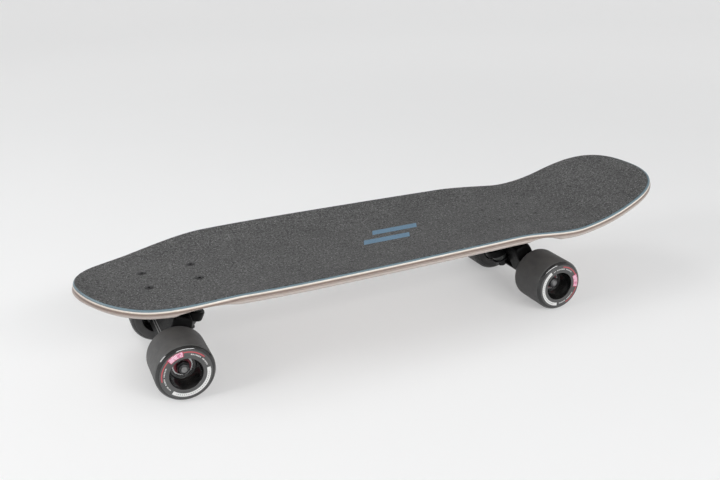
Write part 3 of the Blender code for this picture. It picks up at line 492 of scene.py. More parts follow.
def turned_place(tree, coming):
    """Where a point lies on a piece turned round its own Z axis. The angle is in degrees."""
    where = split(on_object(tree))
    x, y = where["X"], where["Y"]
    angle = maths("ARCTAN2", y, x) * (180 / math.pi)
    return {"Radius": maths("SQRT", x * x + y * y), "Height": where["Z"], "Angle": angle}


def turning_marks(tree, coming):
    """Faint rings left by a lathe tool, as relief, at a number of rings for each metre."""
    place = placed(tree, TURNED_PLACE)
    along = (place["Radius"] + place["Height"]) * coming["Rings"]
    return {"Height": signal(tree, "TexNoise", {"W": along, "Scale": 1.0, "Detail": 2.0},
                             noise_dimensions="1D")}


def ring_band(tree, coming):
    """A mask of a printed arc: between two radii, and within an angle of its middle."""
    radial = (coming["Radius"] > coming["Inner"]) * (coming["Radius"] < coming["Outer"])
    away = abs(maths("WRAP", coming["Angle"] - coming["Middle"], -180.0, 180.0))
    return {"Mask": radial * (away < coming["Half Span"])}


MOTTLE = effect_group({"Dark": grey(0.0), "Light": grey(1.0), "Scale": 100.0,
                       "Stretch": (1.0, 1.0, 1.0), "Contrast": 0.25}, mottle)
GRAIN = effect_group({"Scale": 800.0, "Stretch": (1.0, 1.0, 1.0)}, grain)
WORN_AND_HIGHLIT_EDGE = effect_group({"Reach": 0.0006, "Scale": 250.0}, worn_and_highlit_edge)
DUST = effect_group({"Amount": 0.2}, dust)
TURNED_PLACE = effect_group({}, turned_place)
TURNING_MARKS = effect_group({"Rings": 5000.0}, turning_marks)
RING_BAND = effect_group({"Radius": 0.0, "Angle": 0.0, "Inner": 0.02, "Outer": 0.025, "Middle": 0.0,
                          "Half Span": 30.0}, ring_band)


# Finishes

def new_finish(name, roughness=0.5, metallic=0.0):
    """A material with a Principled shader: its tree and that shader's sockets."""
    made = bpy.data.materials.new(name)
    made.use_nodes = True
    sockets = made.node_tree.nodes["Principled BSDF"].inputs
    feed(sockets, {"Roughness": roughness, "Metallic": metallic})
    return made, made.node_tree, sockets


def set_relief(sockets, height, distance, strength=1.0):
    """Relief on a shader from a height mask, at a real depth."""
    bump = {"Height": height, "Distance": distance, "Strength": strength}
    feed(sockets, {"Normal": signal(height.tree, "Bump", bump)})


def clouded(tree, dark, light, scale):
    """A colour that wanders between a dark and a light one."""
    return placed(tree, MOTTLE, {"Dark": dark, "Light": light, "Scale": scale})["Colour"]


def uneven(tree, scale, low, high):
    """A value that wanders between a low and a high one."""
    return spread(placed(tree, MOTTLE, {"Scale": scale})["Mask"], 0.0, 1.0, low, high)


def edges_worn_and_highlit(tree, base, shade, share, reach, scale):
    """The base colour, lightened along the edges: partly worn, partly a painted edge highlight."""
    edges = placed(tree, WORN_AND_HIGHLIT_EDGE, {"Reach": reach, "Scale": scale})["Mask"]
    # Lightens the edges: partly worn surface, partly painted edge highlight.
    return mixed(edges * share, base, shade)


def dusted(tree, base, amount, shade=colour(0.32, 0.30, 0.27)):
    """The base colour under a film of dust."""
    return mixed(placed(tree, DUST, {"Amount": amount})["Mask"], base, shade)


def grained(tree, scale, stretch=(1.0, 1.0, 1.0)):
    """The height of a fine grain."""
    return placed(tree, GRAIN, {"Scale": scale, "Stretch": stretch})["Height"]


def ringed(tree, rings):
    """The height of turning marks."""
    return placed(tree, TURNING_MARKS, {"Rings": rings})["Height"]


# The veneers, from the top face down: where each ends and its colour
VENEERS = (
    (0.0016, colour(0.165, 0.248, 0.292)),
    (0.0031, colour(0.860, 0.810, 0.745)),
    (0.0037, colour(0.520, 0.410, 0.330)),
    (0.0056, colour(0.235, 0.178, 0.150)),
    (0.0068, colour(0.400, 0.335, 0.300)),
    (0.0088, colour(0.530, 0.470, 0.435)),
    (DECK_THICKNESS, colour(0.500, 0.442, 0.410)),
)
GLUE_LINE = 0.00010
VENEER_WAVER = 0.0003
NOSE_VENEER_SHIFT = 0.0006


def maple_finish():
    """Pressed maple veneers under clear lacquer: dyed top, natural underside, bare edges."""
    made, tree, sockets = new_finish("lacquered_maple_veneers", 0.38)
    waver = noise(stretched_place(tree, (1.0, 9.0, 9.0)), 40.0, 3.0)
    streaks = noise(stretched_place(tree, (1.0, 22.0, 22.0)), 32.0, 6.0, 0.6)
    rays = noise(stretched_place(tree, (1.0, 5.0, 5.0)), 420.0, 2.0)
    towards_tail = split(surface_normal(tree))["X"]
    depth = signal(tree, "Attribute", which="Fac", attribute_name="ply_depth")
    depth = depth + (waver - 0.5) * VENEER_WAVER
    depth = depth - spread(towards_tail, -0.2, -0.9, 0.0, NOSE_VENEER_SHIFT)
    wood = VENEERS[0][1]
    glue = 0.0
    for (end, _), (_, shade) in zip(VENEERS, VENEERS[1:]):
        wood = mixed(spread(depth, end - GLUE_LINE / 2, end + GLUE_LINE / 2), wood, shade)
        glue = glue + spread(abs(depth - end), GLUE_LINE, 0.0)
    for mask, shade, blend_type in (
            (spread(streaks, 0.35, 0.75, 0.0, 0.22), colour(0.52, 0.40, 0.31), "MULTIPLY"),
            (spread(rays, 0.58, 0.72, 0.0, 0.16), colour(0.50, 0.39, 0.31), "MULTIPLY"),
            (glue * 0.22, colour(0.28, 0.19, 0.14), "MIX"),
            (spread(abs(towards_tail), 0.2, 0.9, 0.0, 0.75), colour(0.54, 0.50, 0.48), "MULTIPLY")):
        wood = mixed(mask, wood, shade, blend_type)
    feed(sockets, {"Base Color": wood, "Roughness": spread(streaks, 0.3, 0.7, 0.34, 0.48),
                   "Coat Weight": spread(waver, 0.3, 0.7, 0.25, 0.45), "Coat Roughness": 0.22})
    set_relief(sockets, grained(tree, 260.0, (1.0, 12.0, 12.0)), 0.00006)
    return made


# The two plain bars printed on the grip: middle, half length, half breadth
BARS = (((0.018, 0.012), 0.030, 0.0062), ((-0.004, -0.012), 0.030, 0.0062))
BAR_SLANT = 0.45


def bars_mask(tree):
    """A mask of the plain slanted bars."""
    where = split(on_object(tree))
    total = 0.0
    for (x, y), half_length, half_breadth in BARS:
        across = where["Y"] - y
        along = abs(where["X"] - x - across * BAR_SLANT)
        total = total + (along < half_length) * (abs(across) < half_breadth)
    return total


def grip_finish():
    """Grit paper: dark grains in a matt binder, with glints and two bars printed on the grit."""
    made, tree, sockets = new_finish("grit_paper", 0.8)
    where = on_object(tree)
    grains = signals(tree, "TexVoronoi", {"Vector": where, "Scale": 1500.0})
    shade = signals(tree, "SeparateColor", {0: grains["Color"]})
    clumps = spread(noise(where, 560.0, 2.0), 0.40, 0.60, 0.0, 0.42)
    flocks = spread(noise(where, 300.0, 3.0), 0.38, 0.62, 0.0, 0.28)
    paper = mixed(shade["Red"] * 0.30 + clumps + flocks, grey(0.022), colour(0.172, 0.171, 0.170))
    paper = mixed(1.0, paper, clouded(tree, grey(0.82), grey(1.0), 22.0), "MULTIPLY")
    glints = signals(tree, "TexVoronoi", {"Vector": where, "Scale": 620.0})
    chosen = signals(tree, "SeparateColor", {0: glints["Color"]})["Green"] > 0.80
    paper = mixed(chosen * (glints["Distance"] < 0.34) * 0.55, paper, grey(0.40))
    print_cover = bars_mask(tree) * spread(shade["Blue"], 0.0, 0.35, 0.55, 0.95)
    paper = mixed(print_cover, paper, colour(0.150, 0.262, 0.370))
    feed(sockets, {"Base Color": paper, "Roughness": spread(shade["Green"], 0.0, 1.0, 0.62, 0.95),
                   "Specular IOR Level": 0.35})
    peak = spread(grains["Distance"], 0.0, 0.7, 1.0, 0.0)
    set_relief(sockets, peak * (shade["Blue"] + 0.3), 0.00030, 0.7)
    return made


def printed_arc(inner, outer, middle, half_span):
    """Where a printed arc lies: its radii in metres, and degrees from the block's middle."""
    return {"Inner": inner, "Outer": outer, "Middle": middle, "Half Span": half_span}


# The print on a wheel's outer face
BLOCK = printed_arc(0.0208, 0.0262, 0.0, 19.0)
BLOCK_EDGE = printed_arc(0.0203, 0.0267, 0.0, 21.0)
RED_ARC = printed_arc(0.0245, 0.0257, 0.0, 74.0)
WHITE_ARC = printed_arc(0.0213, 0.0251, 185.0, 70.0)
WHITE_ARC_MARKS = printed_arc(0.0226, 0.0237, 185.0, 60.0)
TICKS = (printed_arc(0.0219, 0.0232, 72.0, 36.0), printed_arc(0.0219, 0.0232, -65.5, 31.5))
TICK_PITCH = 4.2
TICK_GROUP = 33.6
MARK_PITCH = 5.5
BLOCK_PITCH = 3.4
BLOCK_ROW = 0.0018


def dashes(value, pitch, share):
    """1 on a share of each pitch of a value, and 0 between."""
    return maths("FRACT", value / pitch) < share


def cell_shade(*counted):
    """A different even shade for each cell of one or two counted values."""
    cell = {k: maths("FLOOR", value) for k, value in enumerate(counted)}
    where = signal(counted[0].tree, "CombineXYZ", cell)
    return signal(where.tree, "TexWhiteNoise", {"Vector": where}, "Value", noise_dimensions="3D")


def printed(tree, base):
    """The print over the wheel's own colour, turned as far as the mesh says."""
    place = placed(tree, TURNED_PLACE)
    angle = place["Angle"] - signal(tree, "Attribute", which="Fac", attribute_name="print_turn")

    def band(arc_print):
        return placed(tree, RING_BAND, {"Radius": place["Radius"], "Angle": angle, **arc_print})["Mask"]

    tick_share = spread(cell_shade(angle / TICK_PITCH), 0.0, 1.0, 0.40, 0.78)
    ticks = dashes(angle, TICK_PITCH, tick_share) * dashes(angle, TICK_GROUP, 0.86)
    marks = band(WHITE_ARC_MARKS) * dashes(angle, MARK_PITCH, 0.45)
    block = band(BLOCK)
    cell = cell_shade(angle / BLOCK_PITCH, place["Radius"] / BLOCK_ROW)
    strokes = block * dashes(angle, BLOCK_PITCH, 0.46) * (cell > 0.25)
    gaps = block * dashes(angle + BLOCK_PITCH / 2, BLOCK_PITCH, 0.36) * (cell < 0.62)
    tick_white = colour(0.66, 0.66, 0.65)
    for mask, shade in (
            (band(RED_ARC), colour(0.50, 0.085, 0.100)), (band(TICKS[0]) * ticks, tick_white),
            (band(TICKS[1]) * ticks, tick_white), (band(WHITE_ARC), colour(0.74, 0.74, 0.73)),
            (marks * 0.6, grey(0.16)), (band(BLOCK_EDGE), colour(0.30, 0.03, 0.05)),
            (block, colour(0.76, 0.30, 0.45)), (strokes * 0.85, colour(0.92, 0.80, 0.85)),
            (gaps * 0.90, colour(0.42, 0.05, 0.13))):
        base = mixed(mask, base, shade)
    return base


def wheel_finish():
    """Poured urethane: ground matt tread and faces, glossy moulded lips and hub, printed outer face."""
    made, tree, sockets = new_finish("poured_urethane", 0.5)
    place = placed(tree, TURNED_PLACE)
    radius, height = place["Radius"], abs(place["Height"])
    tread = (height < WHEEL_WIDTH / 2 - GROUND_LIP) * (radius > WHEEL_RADIUS - GROUND_DEPTH)
    face = (radius < WHEEL_RADIUS - WHEEL_LIP + GROUND_FACE_REACH) * (height > WHEEL_WIDTH / 2 - FACE_DEPTH)
    matt = maths("MAXIMUM", tread, face)
    base = mixed(matt, colour(0.0065, 0.0065, 0.0068), clouded(tree, grey(0.074), grey(0.090), 90.0))
    base = mixed(place["Height"] > 0.0, base, printed(tree, base))
    glossy = uneven(tree, 240.0, 0.095, 0.105) + (radius < HUB_MOUTH_RADIUS) * 0.05
    roughness = {0: matt, 2: glossy, 3: uneven(tree, 240.0, 0.55, 0.68)}
    feed(sockets, {"Base Color": dusted(tree, base, 0.10, colour(0.35, 0.33, 0.30)),
                   "Roughness": signal(tree, "Mix", roughness, data_type="FLOAT"),
                   "Specular IOR Level": spread(matt, 0.0, 1.0, 0.75, 0.5)})
    set_relief(sockets, matt * (ringed(tree, 4200.0) + grained(tree, 1500.0)), 0.00003)
    return made


def powder_coat_finish():
    """Black powder coat on the castings, lightened along its edges: slightly worn, partly a painted edge
    highlight.
    """
    made, tree, sockets = new_finish("black_powder_coat", 0.42)
    base = clouded(tree, grey(0.0035), colour(0.0060, 0.0060, 0.0062), 120.0)
    # Light grey along the edges: partly worn coat, partly painted edge highlight.
    base = edges_worn_and_highlit(tree, base, colour(0.28, 0.28, 0.29), 0.06, 0.0005, 300.0)
    feed(sockets, {"Base Color": dusted(tree, base, 0.006), "Roughness": uneven(tree, 500.0, 0.33, 0.46),
                   "Specular IOR Level": 0.08})
    set_relief(sockets, grained(tree, 900.0), 0.00005)
    return made


def steel_finish(name, dark, light, metallic, smooth, rough, rings, edge_wear_and_highlight=0.5):
    """Machined steel, bright or blackened, with tool marks, and edges lightened partly by being worn, partly
    by a painted edge highlight.
    """
    made, tree, sockets = new_finish(name, smooth, metallic)
    # Light grey along the edges: partly worn metal, partly painted edge highlight.
    base = edges_worn_and_highlit(tree, clouded(tree, dark, light, 420.0), colour(0.48, 0.48, 0.50), edge_wear_and_highlight, 0.0003, 600.0)
    feed(sockets, {"Base Color": base, "Roughness": uneven(tree, 700.0, smooth, rough)})
    set_relief(sockets, ringed(tree, rings), 0.000012)
    return made


def moulded_finish(name, dark, light, smooth, rough, scale, depth=0.00001):
    """Moulded rubber, urethane or plastic: cloudy colour and a faint skin texture."""
    made, tree, sockets = new_finish(name, smooth)
    feed(sockets, {"Base Color": dusted(tree, clouded(tree, dark, light, scale), 0.08),
                   "Roughness": uneven(tree, 3 * scale, smooth, rough)})
    set_relief(sockets, grained(tree, 1100.0), depth)
    return made


MAPLE = maple_finish()
GRIT = grip_finish()
URETHANE = wheel_finish()
POWDER_COAT = powder_coat_finish()
BLACK_STEEL = steel_finish("blackened_steel", colour(0.014, 0.014, 0.015), colour(0.028, 0.028, 0.029),
                           0.60, 0.34, 0.46, 6000.0, 0.22)
PLATED_STEEL = steel_finish("dull_plated_steel", grey(0.22), grey(0.30), 0.90, 0.34, 0.46, 9000.0)
BRIGHT_STEEL = steel_finish("ground_steel", colour(0.50, 0.50, 0.51), grey(0.60), 1.0, 0.20, 0.32, 9000.0)
SCUFFED_STEEL = steel_finish("scuffed_bolt_steel", grey(0.050), grey(0.090), 0.20, 0.55, 0.70, 6000.0, 0.30)
SHIELD_RUBBER = moulded_finish("red_shield_rubber", colour(0.17, 0.020, 0.034), colour(0.24, 0.034, 0.050),
                               0.36, 0.48, 300.0)
BUSHING_URETHANE = moulded_finish("dark_grey_urethane", colour(0.040, 0.043, 0.041),
                                  colour(0.062, 0.066, 0.063), 0.30, 0.42, 120.0)
BLACK_SHIELD_RUBBER = moulded_finish("black_shield_rubber", grey(0.012), grey(0.022), 0.40, 0.52, 300.0)
CUP_PLASTIC = moulded_finish("pivot_bush_plastic", colour(0.020, 0.020, 0.021), colour(0.034, 0.034, 0.036),
                             0.40, 0.52, 200.0, 0.00002)
RISER_RUBBER = moulded_finish("riser_pad_rubber", grey(0.016), grey(0.030), 0.62, 0.78, 160.0, 0.00005)
NYLON = moulded_finish("lock_ring_nylon", colour(0.060, 0.060, 0.064), colour(0.095, 0.095, 0.10),
                       0.38, 0.50, 300.0)


# Meshes

def mesh_from(shape, name):
    """A mesh from a bmesh, which is freed."""
    mesh = bpy.data.meshes.new(name)
    shape.to_mesh(mesh)
    shape.free()
    return mesh


def eased(points, radius, steps=CORNER_STEPS):
    """An open profile with its inner corners rounded, by less than half of each side."""
    result = [points[0]]
    for before, corner, after in zip(points, points[1:], points[2:]):
        b, c, a = Vector(before), Vector(corner), Vector(after)
        reach = min(radius, (b - c).length * CORNER_SHARE, (a - c).length * CORNER_SHARE)
        start = c + (b - c).normalized() * reach
        end = c + (a - c).normalized() * reach
        for k in range(steps + 1):
            t = k / steps
            result.append(tuple(start * (1 - t) ** 2 + c * 2 * t * (1 - t) + end * t * t))
    result.append(points[-1])
    return result


def eased_ring(points, radius):
    """A closed profile with all its corners rounded."""
    return eased([points[-1]] + list(points) + [points[0]], radius)[1:-1]


def turned(profile, steps=TURN_STEPS):
    """A mesh turned round Z from (radius, height) points: solid from the axis, or a closed ring."""
    shape = bmesh.new()
    rings = []
    for radius, height in profile:
        if radius < ON_AXIS:
            rings.append([shape.verts.new((0, 0, height))])
            continue
        angles = [2 * math.pi * k / steps for k in range(steps)]
        rings.append([shape.verts.new((radius * math.cos(a), radius * math.sin(a), height)) for a in angles])
    following = rings[1:] + rings[:1] if profile[0][0] > ON_AXIS else rings[1:]
    for near, far in zip(rings, following):
        for k in range(steps):
            after = (k + 1) % steps
            if len(near) == 1:
                shape.faces.new((near[0], far[k], far[after]))
            elif len(far) == 1:
                shape.faces.new((near[k], far[0], near[after]))
            else:
                shape.faces.new((near[k], far[k], far[after], near[after]))
    bmesh.ops.recalc_face_normals(shape, faces=shape.faces)
    return mesh_from(shape, "turned")


def rod(radius, bottom, top, easing=0.0):
    """Profile of a solid rod with eased ends."""
    points = [(0, top), (radius, top), (radius, bottom), (0, bottom)]
    return eased(points, easing) if easing > 0 else points


def ring_section(inner, outer, bottom, top, easing):
    """Profile of a ring between two radii and two heights."""
    return eased_ring([(outer, top), (outer, bottom), (inner, bottom), (inner, top)], easing)


def thread_points(radius, pitch, start, end):
    """Outer side of a screw thread, as ridges from one height down to another."""
    count = max(int(abs(start - end) / pitch), 1)
    depth = 0.5 * pitch
    points = []
    for k in range(count):
        height = start - pitch * k
        points += [(radius, height), (radius - depth, height - pitch / 2)]
    return points + [(radius, start - pitch * count)]


def arc(centre_r, centre_h, size_r, size_h, start, end, steps):
    """Points along an elliptic arc, angles in degrees from the radius direction."""
    points = []
    for k in range(steps + 1):
        angle = math.radians(start + (end - start) * k / steps)
        points.append((centre_r + size_r * math.cos(angle), centre_h + size_h * math.sin(angle)))
    return points


def prism(sides, radius, bottom, top):
    """An upright prism with its corners at a radius."""
    shape = bmesh.new()
    bmesh.ops.create_cone(shape, cap_ends=True, segments=sides, radius1=radius, radius2=radius,
                          depth=top - bottom, matrix=Matrix.Translation((0, 0, (top + bottom) / 2)))
    return mesh_from(shape, "prism")


def box(low, high, corner=0.0):
    """A box between two corners, with its upright edges rounded if asked."""
    size = Vector(high) - Vector(low)
    shape = bmesh.new()
    place = Matrix.Translation((Vector(high) + Vector(low)) / 2) @ Matrix.Diagonal((*size, 1.0))
    bmesh.ops.create_cube(shape, size=1.0, matrix=place)
    if corner > 0:
        upright = [e for e in shape.edges if abs(e.verts[0].co.z - e.verts[1].co.z) > size.z / 2]
        bmesh.ops.bevel(shape, geom=upright, offset=corner, segments=10, profile=0.5, affect="EDGES")
    return mesh_from(shape, "box")


def shifted(x=0.0, y=0.0, z=0.0):
    """A move along the axes."""
    return Matrix.Translation((x, y, z))


def rotated(angle, axis):
    """A turn about an axis."""
    return Matrix.Rotation(angle, 4, axis)


# Turns that lay a piece's own Z axis along X, or along Y, or turn it upside down
ALONG_X = rotated(math.pi / 2, "Y")
ALONG_Y = rotated(math.pi / 2, "X")
UPSIDE_DOWN = rotated(math.pi, "X")


def added(name, data):
    """A new object in the scene that holds this data."""
    made = bpy.data.objects.new(name, data)
    bpy.context.scene.collection.objects.link(made)
    return made


def moved(mesh, place):
    """The mesh, moved by a matrix."""
    mesh.transform(place)
    return mesh


def gathered(meshes, places=(Matrix.Identity(4),)):
    """One mesh that holds these meshes, once for each place, keeping each one's finish."""
    shape = bmesh.new()
    finishes = []
    for place in places:
        for source in meshes:
            copy = moved(source.copy(), place)
            first = len(shape.faces)
            shape.from_mesh(copy)
            bpy.data.meshes.remove(copy)
            shape.faces.ensure_lookup_table()
            finish = source.materials[0] if source.materials else None
            if finish not in finishes:
                finishes.append(finish)
            for face in shape.faces[first:]:
                face.material_index = finishes.index(finish)
    mesh = mesh_from(shape, "gathered")
    for finish in filter(None, finishes):
        mesh.materials.append(finish)
    return mesh


def in_finish(mesh, finish):
    """The mesh in one finish."""
    mesh.materials.clear()
    mesh.materials.append(finish)
    return mesh


def modified(mesh, add_modifiers):
    """The mesh after the modifiers that a function puts on an object holding it."""
    holder = added("holder", mesh)
    helpers = add_modifiers(holder) or []
    bpy.context.view_layer.update()
    graph = bpy.context.evaluated_depsgraph_get()
    result = bpy.data.meshes.new_from_object(holder.evaluated_get(graph))
    for used in [holder] + helpers:
        bpy.data.objects.remove(used, do_unlink=True)
    return result


def combined(mesh, operation, tools, solver="EXACT"):
    """A mesh joined with, cut by or kept within each tool mesh in turn."""
    def shape_it(holder):
        helpers = [added("tool", tool) for tool in tools]
        for helper in helpers:
            change = holder.modifiers.new("shape", "BOOLEAN")
            change.operation, change.solver, change.object = operation, solver, helper
        return helpers
    return modified(mesh, shape_it)


def cast(mesh):
    """A casting: the joined shapes' surface as one, with its corners and fillets softened."""
    def soften(holder):
        skin = holder.modifiers.new("skin", "REMESH")
        skin.mode = "VOXEL"
        skin.voxel_size = CASTING_VOXEL
        soft = holder.modifiers.new("soft", "SMOOTH")
        soft.factor = 0.5
        soft.iterations = CASTING_SOFTENING
        light = holder.modifiers.new("light", "DECIMATE")
        light.ratio = CASTING_SHARE
    return modified(mesh, soften)


def shaded(mesh):
    """The mesh, smooth where its faces meet at a small angle."""
    mesh.shade_smooth()
    mesh.set_sharp_from_angle(angle=SMOOTH_ANGLE)
    return mesh


def piece(name, mesh, place, body, stands_for=()):
    """A finished piece in its place, riding on a body and standing for some of the frame's nodes."""
    made = added(name, shaded(mesh))
    made.matrix_world = place
    if body is not None:
        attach(made, body)
    if stands_for:
        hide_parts(*stands_for)
    return made


# The deck and its grip tape

def smooth_step(share):
    """0 below 0, 1 above 1, and a smooth rise between."""
    share = np.clip(share, 0.0, 1.0)
    return share * share * (3 - 2 * share)


def half_width(x):
    """Half the deck's width at distances from the middle of the wheelbase."""
    along = (x + NOSE_REACH) / (NOSE_REACH + TAIL_REACH)
    taper = HALF_WIDTH_FRONT + (HALF_WIDTH_REAR - HALF_WIDTH_FRONT) * along
    swell = WAIST_SWELL * 4 * along * (1 - along)
    flare = WHEEL_FLARE * np.exp(-((x - FLARE_STATION) / FLARE_REACH) ** 2)
    to_nose = np.clip((-x - NOSE_CURVE_START) / (NOSE_REACH - NOSE_CURVE_START), 0.0, 1.0)
    to_tail = np.clip((x - TAIL_CURVE_START) / (TAIL_REACH - TAIL_CURVE_START), 0.0, 1.0)
    nose = (1 - to_nose ** NOSE_FULLNESS) ** (1 / NOSE_ROUNDNESS)
    tail = (1 - to_tail ** TAIL_FULLNESS) ** (1 / TAIL_ROUNDNESS)
    return (taper + swell + flare) * nose * tail


def kick_rise(distance, radius, angle):
    """Rise of a kick past its start: an arc up to the angle, then a straight slope."""
    arc_length = radius * math.sin(angle)
    on_arc = np.clip(distance, 0.0, arc_length)
    past = np.maximum(distance - arc_length, 0.0)
    return radius - np.sqrt(radius ** 2 - on_arc ** 2) + past * math.tan(angle)


def deck_rise(x, y):
    """How far the deck's top stands above its flat middle."""
    at_nose = x < 0
    nose_fade = smooth_step((-x - NOSE_FADE_START) / NOSE_FADE_LENGTH)
    tail_fade = smooth_step((x - TAIL_FADE_START) / TAIL_FADE_LENGTH)
    nose_lift = RAIL_LIFT + (NOSE_RAIL_LIFT - RAIL_LIFT) * nose_fade
    tail_lift = RAIL_LIFT + (TAIL_RAIL_LIFT - RAIL_LIFT) * tail_fade
    lift = np.where(at_nose, nose_lift, tail_lift)
    to_tip = np.where(at_nose, NOSE_REACH + x, TAIL_REACH - x)
    kick = np.where(at_nose, kick_rise(-x - NOSE_KICK_START, NOSE_KICK_RADIUS, NOSE_KICK_ANGLE),
                    kick_rise(x - TAIL_KICK_START, TAIL_KICK_RADIUS, TAIL_KICK_ANGLE))
    width = np.maximum(half_width(x), GAP)
    flat = np.minimum(FLAT_HALF_WIDTH, FLAT_SHARE * width)
    bowl = np.clip((np.abs(y) - flat) / (width - flat), 0.0, 1.0) ** 2
    dish = smooth_step(1 - to_tip / END_DISH_LENGTH)
    return kick + lift * (1 - (1 - bowl) * (1 - dish))


def top_surface(x, y):
    """Points of the deck's top face in the frame, and the normals there."""
    step = 2e-5
    slope_x = (deck_rise(x + step, y) - deck_rise(x - step, y)) / (2 * step)
    slope_y = (deck_rise(x, y + step) - deck_rise(x, y - step)) / (2 * step)
    points = np.stack([x - DECK_MIDDLE, y, DECK_TOP + deck_rise(x, y)], axis=-1)
    normals = np.stack([-slope_x, -slope_y, np.ones_like(slope_x)], axis=-1)
    return points, normals / np.linalg.norm(normals, axis=-1, keepdims=True)


def well_drums():
    """The four drums that sand the wheel wells: centre, axis and radius of each."""
    drums = []
    for way, radius, inboard in ((-1, NOSE_WELL_RADIUS, NOSE_WELL_INBOARD),
                                 (1, TAIL_WELL_RADIUS, TAIL_WELL_INBOARD)):
        for side in (-1, 1):
            reach = np.array([way * (WHEELBASE / 2 - inboard) - DECK_MIDDLE,
                              side * WELL_INNER_EDGE, DECK_UNDERSIDE])
            along = np.array([0, side * math.cos(WELL_TILT), math.sin(WELL_TILT)])
            down = np.array([0, side * math.sin(WELL_TILT), -math.cos(WELL_TILT)])
            drums.append((reach + along * WELL_LENGTH / 2 + down * radius, along, radius))
    return drums


def wood_depth(points, normals):
    """The deck's thickness under points of its top face, less where a well is sanded in."""
    depth = np.full(points.shape[:-1], DECK_THICKNESS)
    for centre, axis, radius in well_drums():
        offset = points - centre
        offset = offset - (offset @ axis)[..., None] * axis
        across = normals - (normals @ axis)[..., None] * axis
        a = np.sum(across * across, axis=-1)
        b = np.sum(offset * across, axis=-1)
        inside = b * b - a * (np.sum(offset * offset, axis=-1) - radius ** 2)
        met = (b - np.sqrt(np.maximum(inside, 0.0))) / a
        place = np.abs((points - normals * met[..., None] - centre) @ axis)
        hit = (inside > 0) & (met > 0) & (place < WELL_LENGTH / 2)
        cut = np.where(hit, met, 2 * DECK_THICKNESS)
        soft = np.clip((WELL_EASING - (cut - depth)) / (2 * WELL_EASING), 0.0, 1.0)
        depth = depth + (cut - depth) * soft - WELL_EASING * soft * (1 - soft)
    return depth


def deck_stations():
    """Distances along the deck, closer together towards each tip."""
    start, end = -NOSE_REACH + TIP_ZONE, TAIL_REACH - TIP_ZONE
    middle = np.linspace(start, end, int((end - start) / STATION_STEP))
    shares = (1 - np.arange(1, TIP_STATIONS + 1) / TIP_STATIONS) ** 2
    nose = -NOSE_REACH + TIP_ZONE * shares
    tail = TAIL_REACH - TIP_ZONE * shares
    return np.concatenate([nose[::-1], middle, tail])


def plan_rows(inset):
    """Plan places of a sheet a distance in from the deck's outline, a row for each station."""
    stations = deck_stations()
    step = 1e-5
    slope = (half_width(stations + step) - half_width(stations - step)) / (2 * step)
    length = np.hypot(1, slope)
    x = stations + inset * slope / length
    width = np.maximum(half_width(stations) - inset / length, 0.0)
    width[0] = width[-1] = 0.0
    share = np.linspace(-1.0, 1.0, ACROSS_COLUMNS + 1)
    return np.repeat(x[:, None], len(share), axis=1), width[:, None] * share


def sheet_layer(inset, below_top=None, above_bottom=None):
    """Points of a layer in the deck: so far under its top face, or so far above its underside."""
    x, y = plan_rows(inset)
    points, normals = top_surface(x, y)
    if above_bottom is None:
        return points - normals * below_top
    depth = wood_depth(points, normals) - np.reshape(above_bottom, (-1, 1))
    return points - normals * depth[..., None]


def under_easing():
    """How far the underside's edge is rounded at each station: more at the tips, less over a well."""
    x, y = plan_rows(0.0)
    room = (wood_depth(*top_surface(x[:, 0], y[:, 0])) - TOP_EASING) * UNDER_EASING_SHARE
    to_tip = np.minimum(x[:, 0] + NOSE_REACH, TAIL_REACH - x[:, 0])
    wanted = UNDER_EASING + (TIP_UNDER_EASING - UNDER_EASING) * smooth_step(1 - to_tip / TIP_EASING_LENGTH)
    wanted = wanted + (TIP_CRISP_EASING - wanted) * smooth_step(1 - to_tip / TIP_CRISP_LENGTH)
    return np.minimum(wanted, room)


def layered_body(layers):
    """A closed body over the deck's plan, from its top layer round its edge to its bottom one."""
    rows, columns = layers[0].shape[:2]
    points = [layers[0].reshape(-1, 3)]
    count = rows * columns
    grid = np.arange(count).reshape(rows, columns)
    sides = [(grid[:, 0], grid[:, -1])]
    for layer in layers[1:-1]:
        points += [layer[:, 0], layer[:, -1]]
        sides.append((count + np.arange(rows), count + rows + np.arange(rows)))
        count += 2 * rows
    points.append(layers[-1].reshape(-1, 3))
    under = count + grid
    sides.append((under[:, 0], under[:, -1]))
    faces = []
    for corners in ((grid[:-1, :-1], grid[1:, :-1], grid[1:, 1:], grid[:-1, 1:]),
                    (under[:-1, :-1], under[:-1, 1:], under[1:, 1:], under[1:, :-1])):
        faces.append(np.stack(corners, axis=-1).reshape(-1, 4))
    for (left, right), (next_left, next_right) in zip(sides, sides[1:]):
        faces.append(np.stack([left[1:], left[:-1], next_left[:-1], next_left[1:]], axis=-1))
        faces.append(np.stack([right[:-1], right[1:], next_right[1:], next_right[:-1]], axis=-1))
    mesh = bpy.data.meshes.new("layered")
    mesh.from_pydata(np.concatenate(points).tolist(), [], np.concatenate(faces).tolist())
    shape = bmesh.new()
    shape.from_mesh(mesh)
    bmesh.ops.remove_doubles(shape, verts=shape.verts, dist=MERGE_DISTANCE)
    bmesh.ops.recalc_face_normals(shape, faces=shape.faces)
    return mesh_from(shape, "layered")


def mark_ply_depth(mesh):
    """Store at each point how deep it lies under the deck's top face."""
    places = np.empty(len(mesh.vertices) * 3)
    mesh.vertices.foreach_get("co", places)
    places = places.reshape(-1, 3)
    x, y = places[:, 0] + DECK_MIDDLE, places[:, 1]
    for _ in range(DEPTH_ROUNDS):
        points, normals = top_surface(x, y)
        depth = np.sum((points - places) * normals, axis=-1)
        x = places[:, 0] + DECK_MIDDLE + normals[:, 0] * depth
        y = places[:, 1] + normals[:, 1] * depth
    stored = mesh.attributes.new("ply_depth", "FLOAT", "POINT")
    stored.data.foreach_set("value", depth.astype(np.float32))


WAY = {"front": -1, "rear": 1}


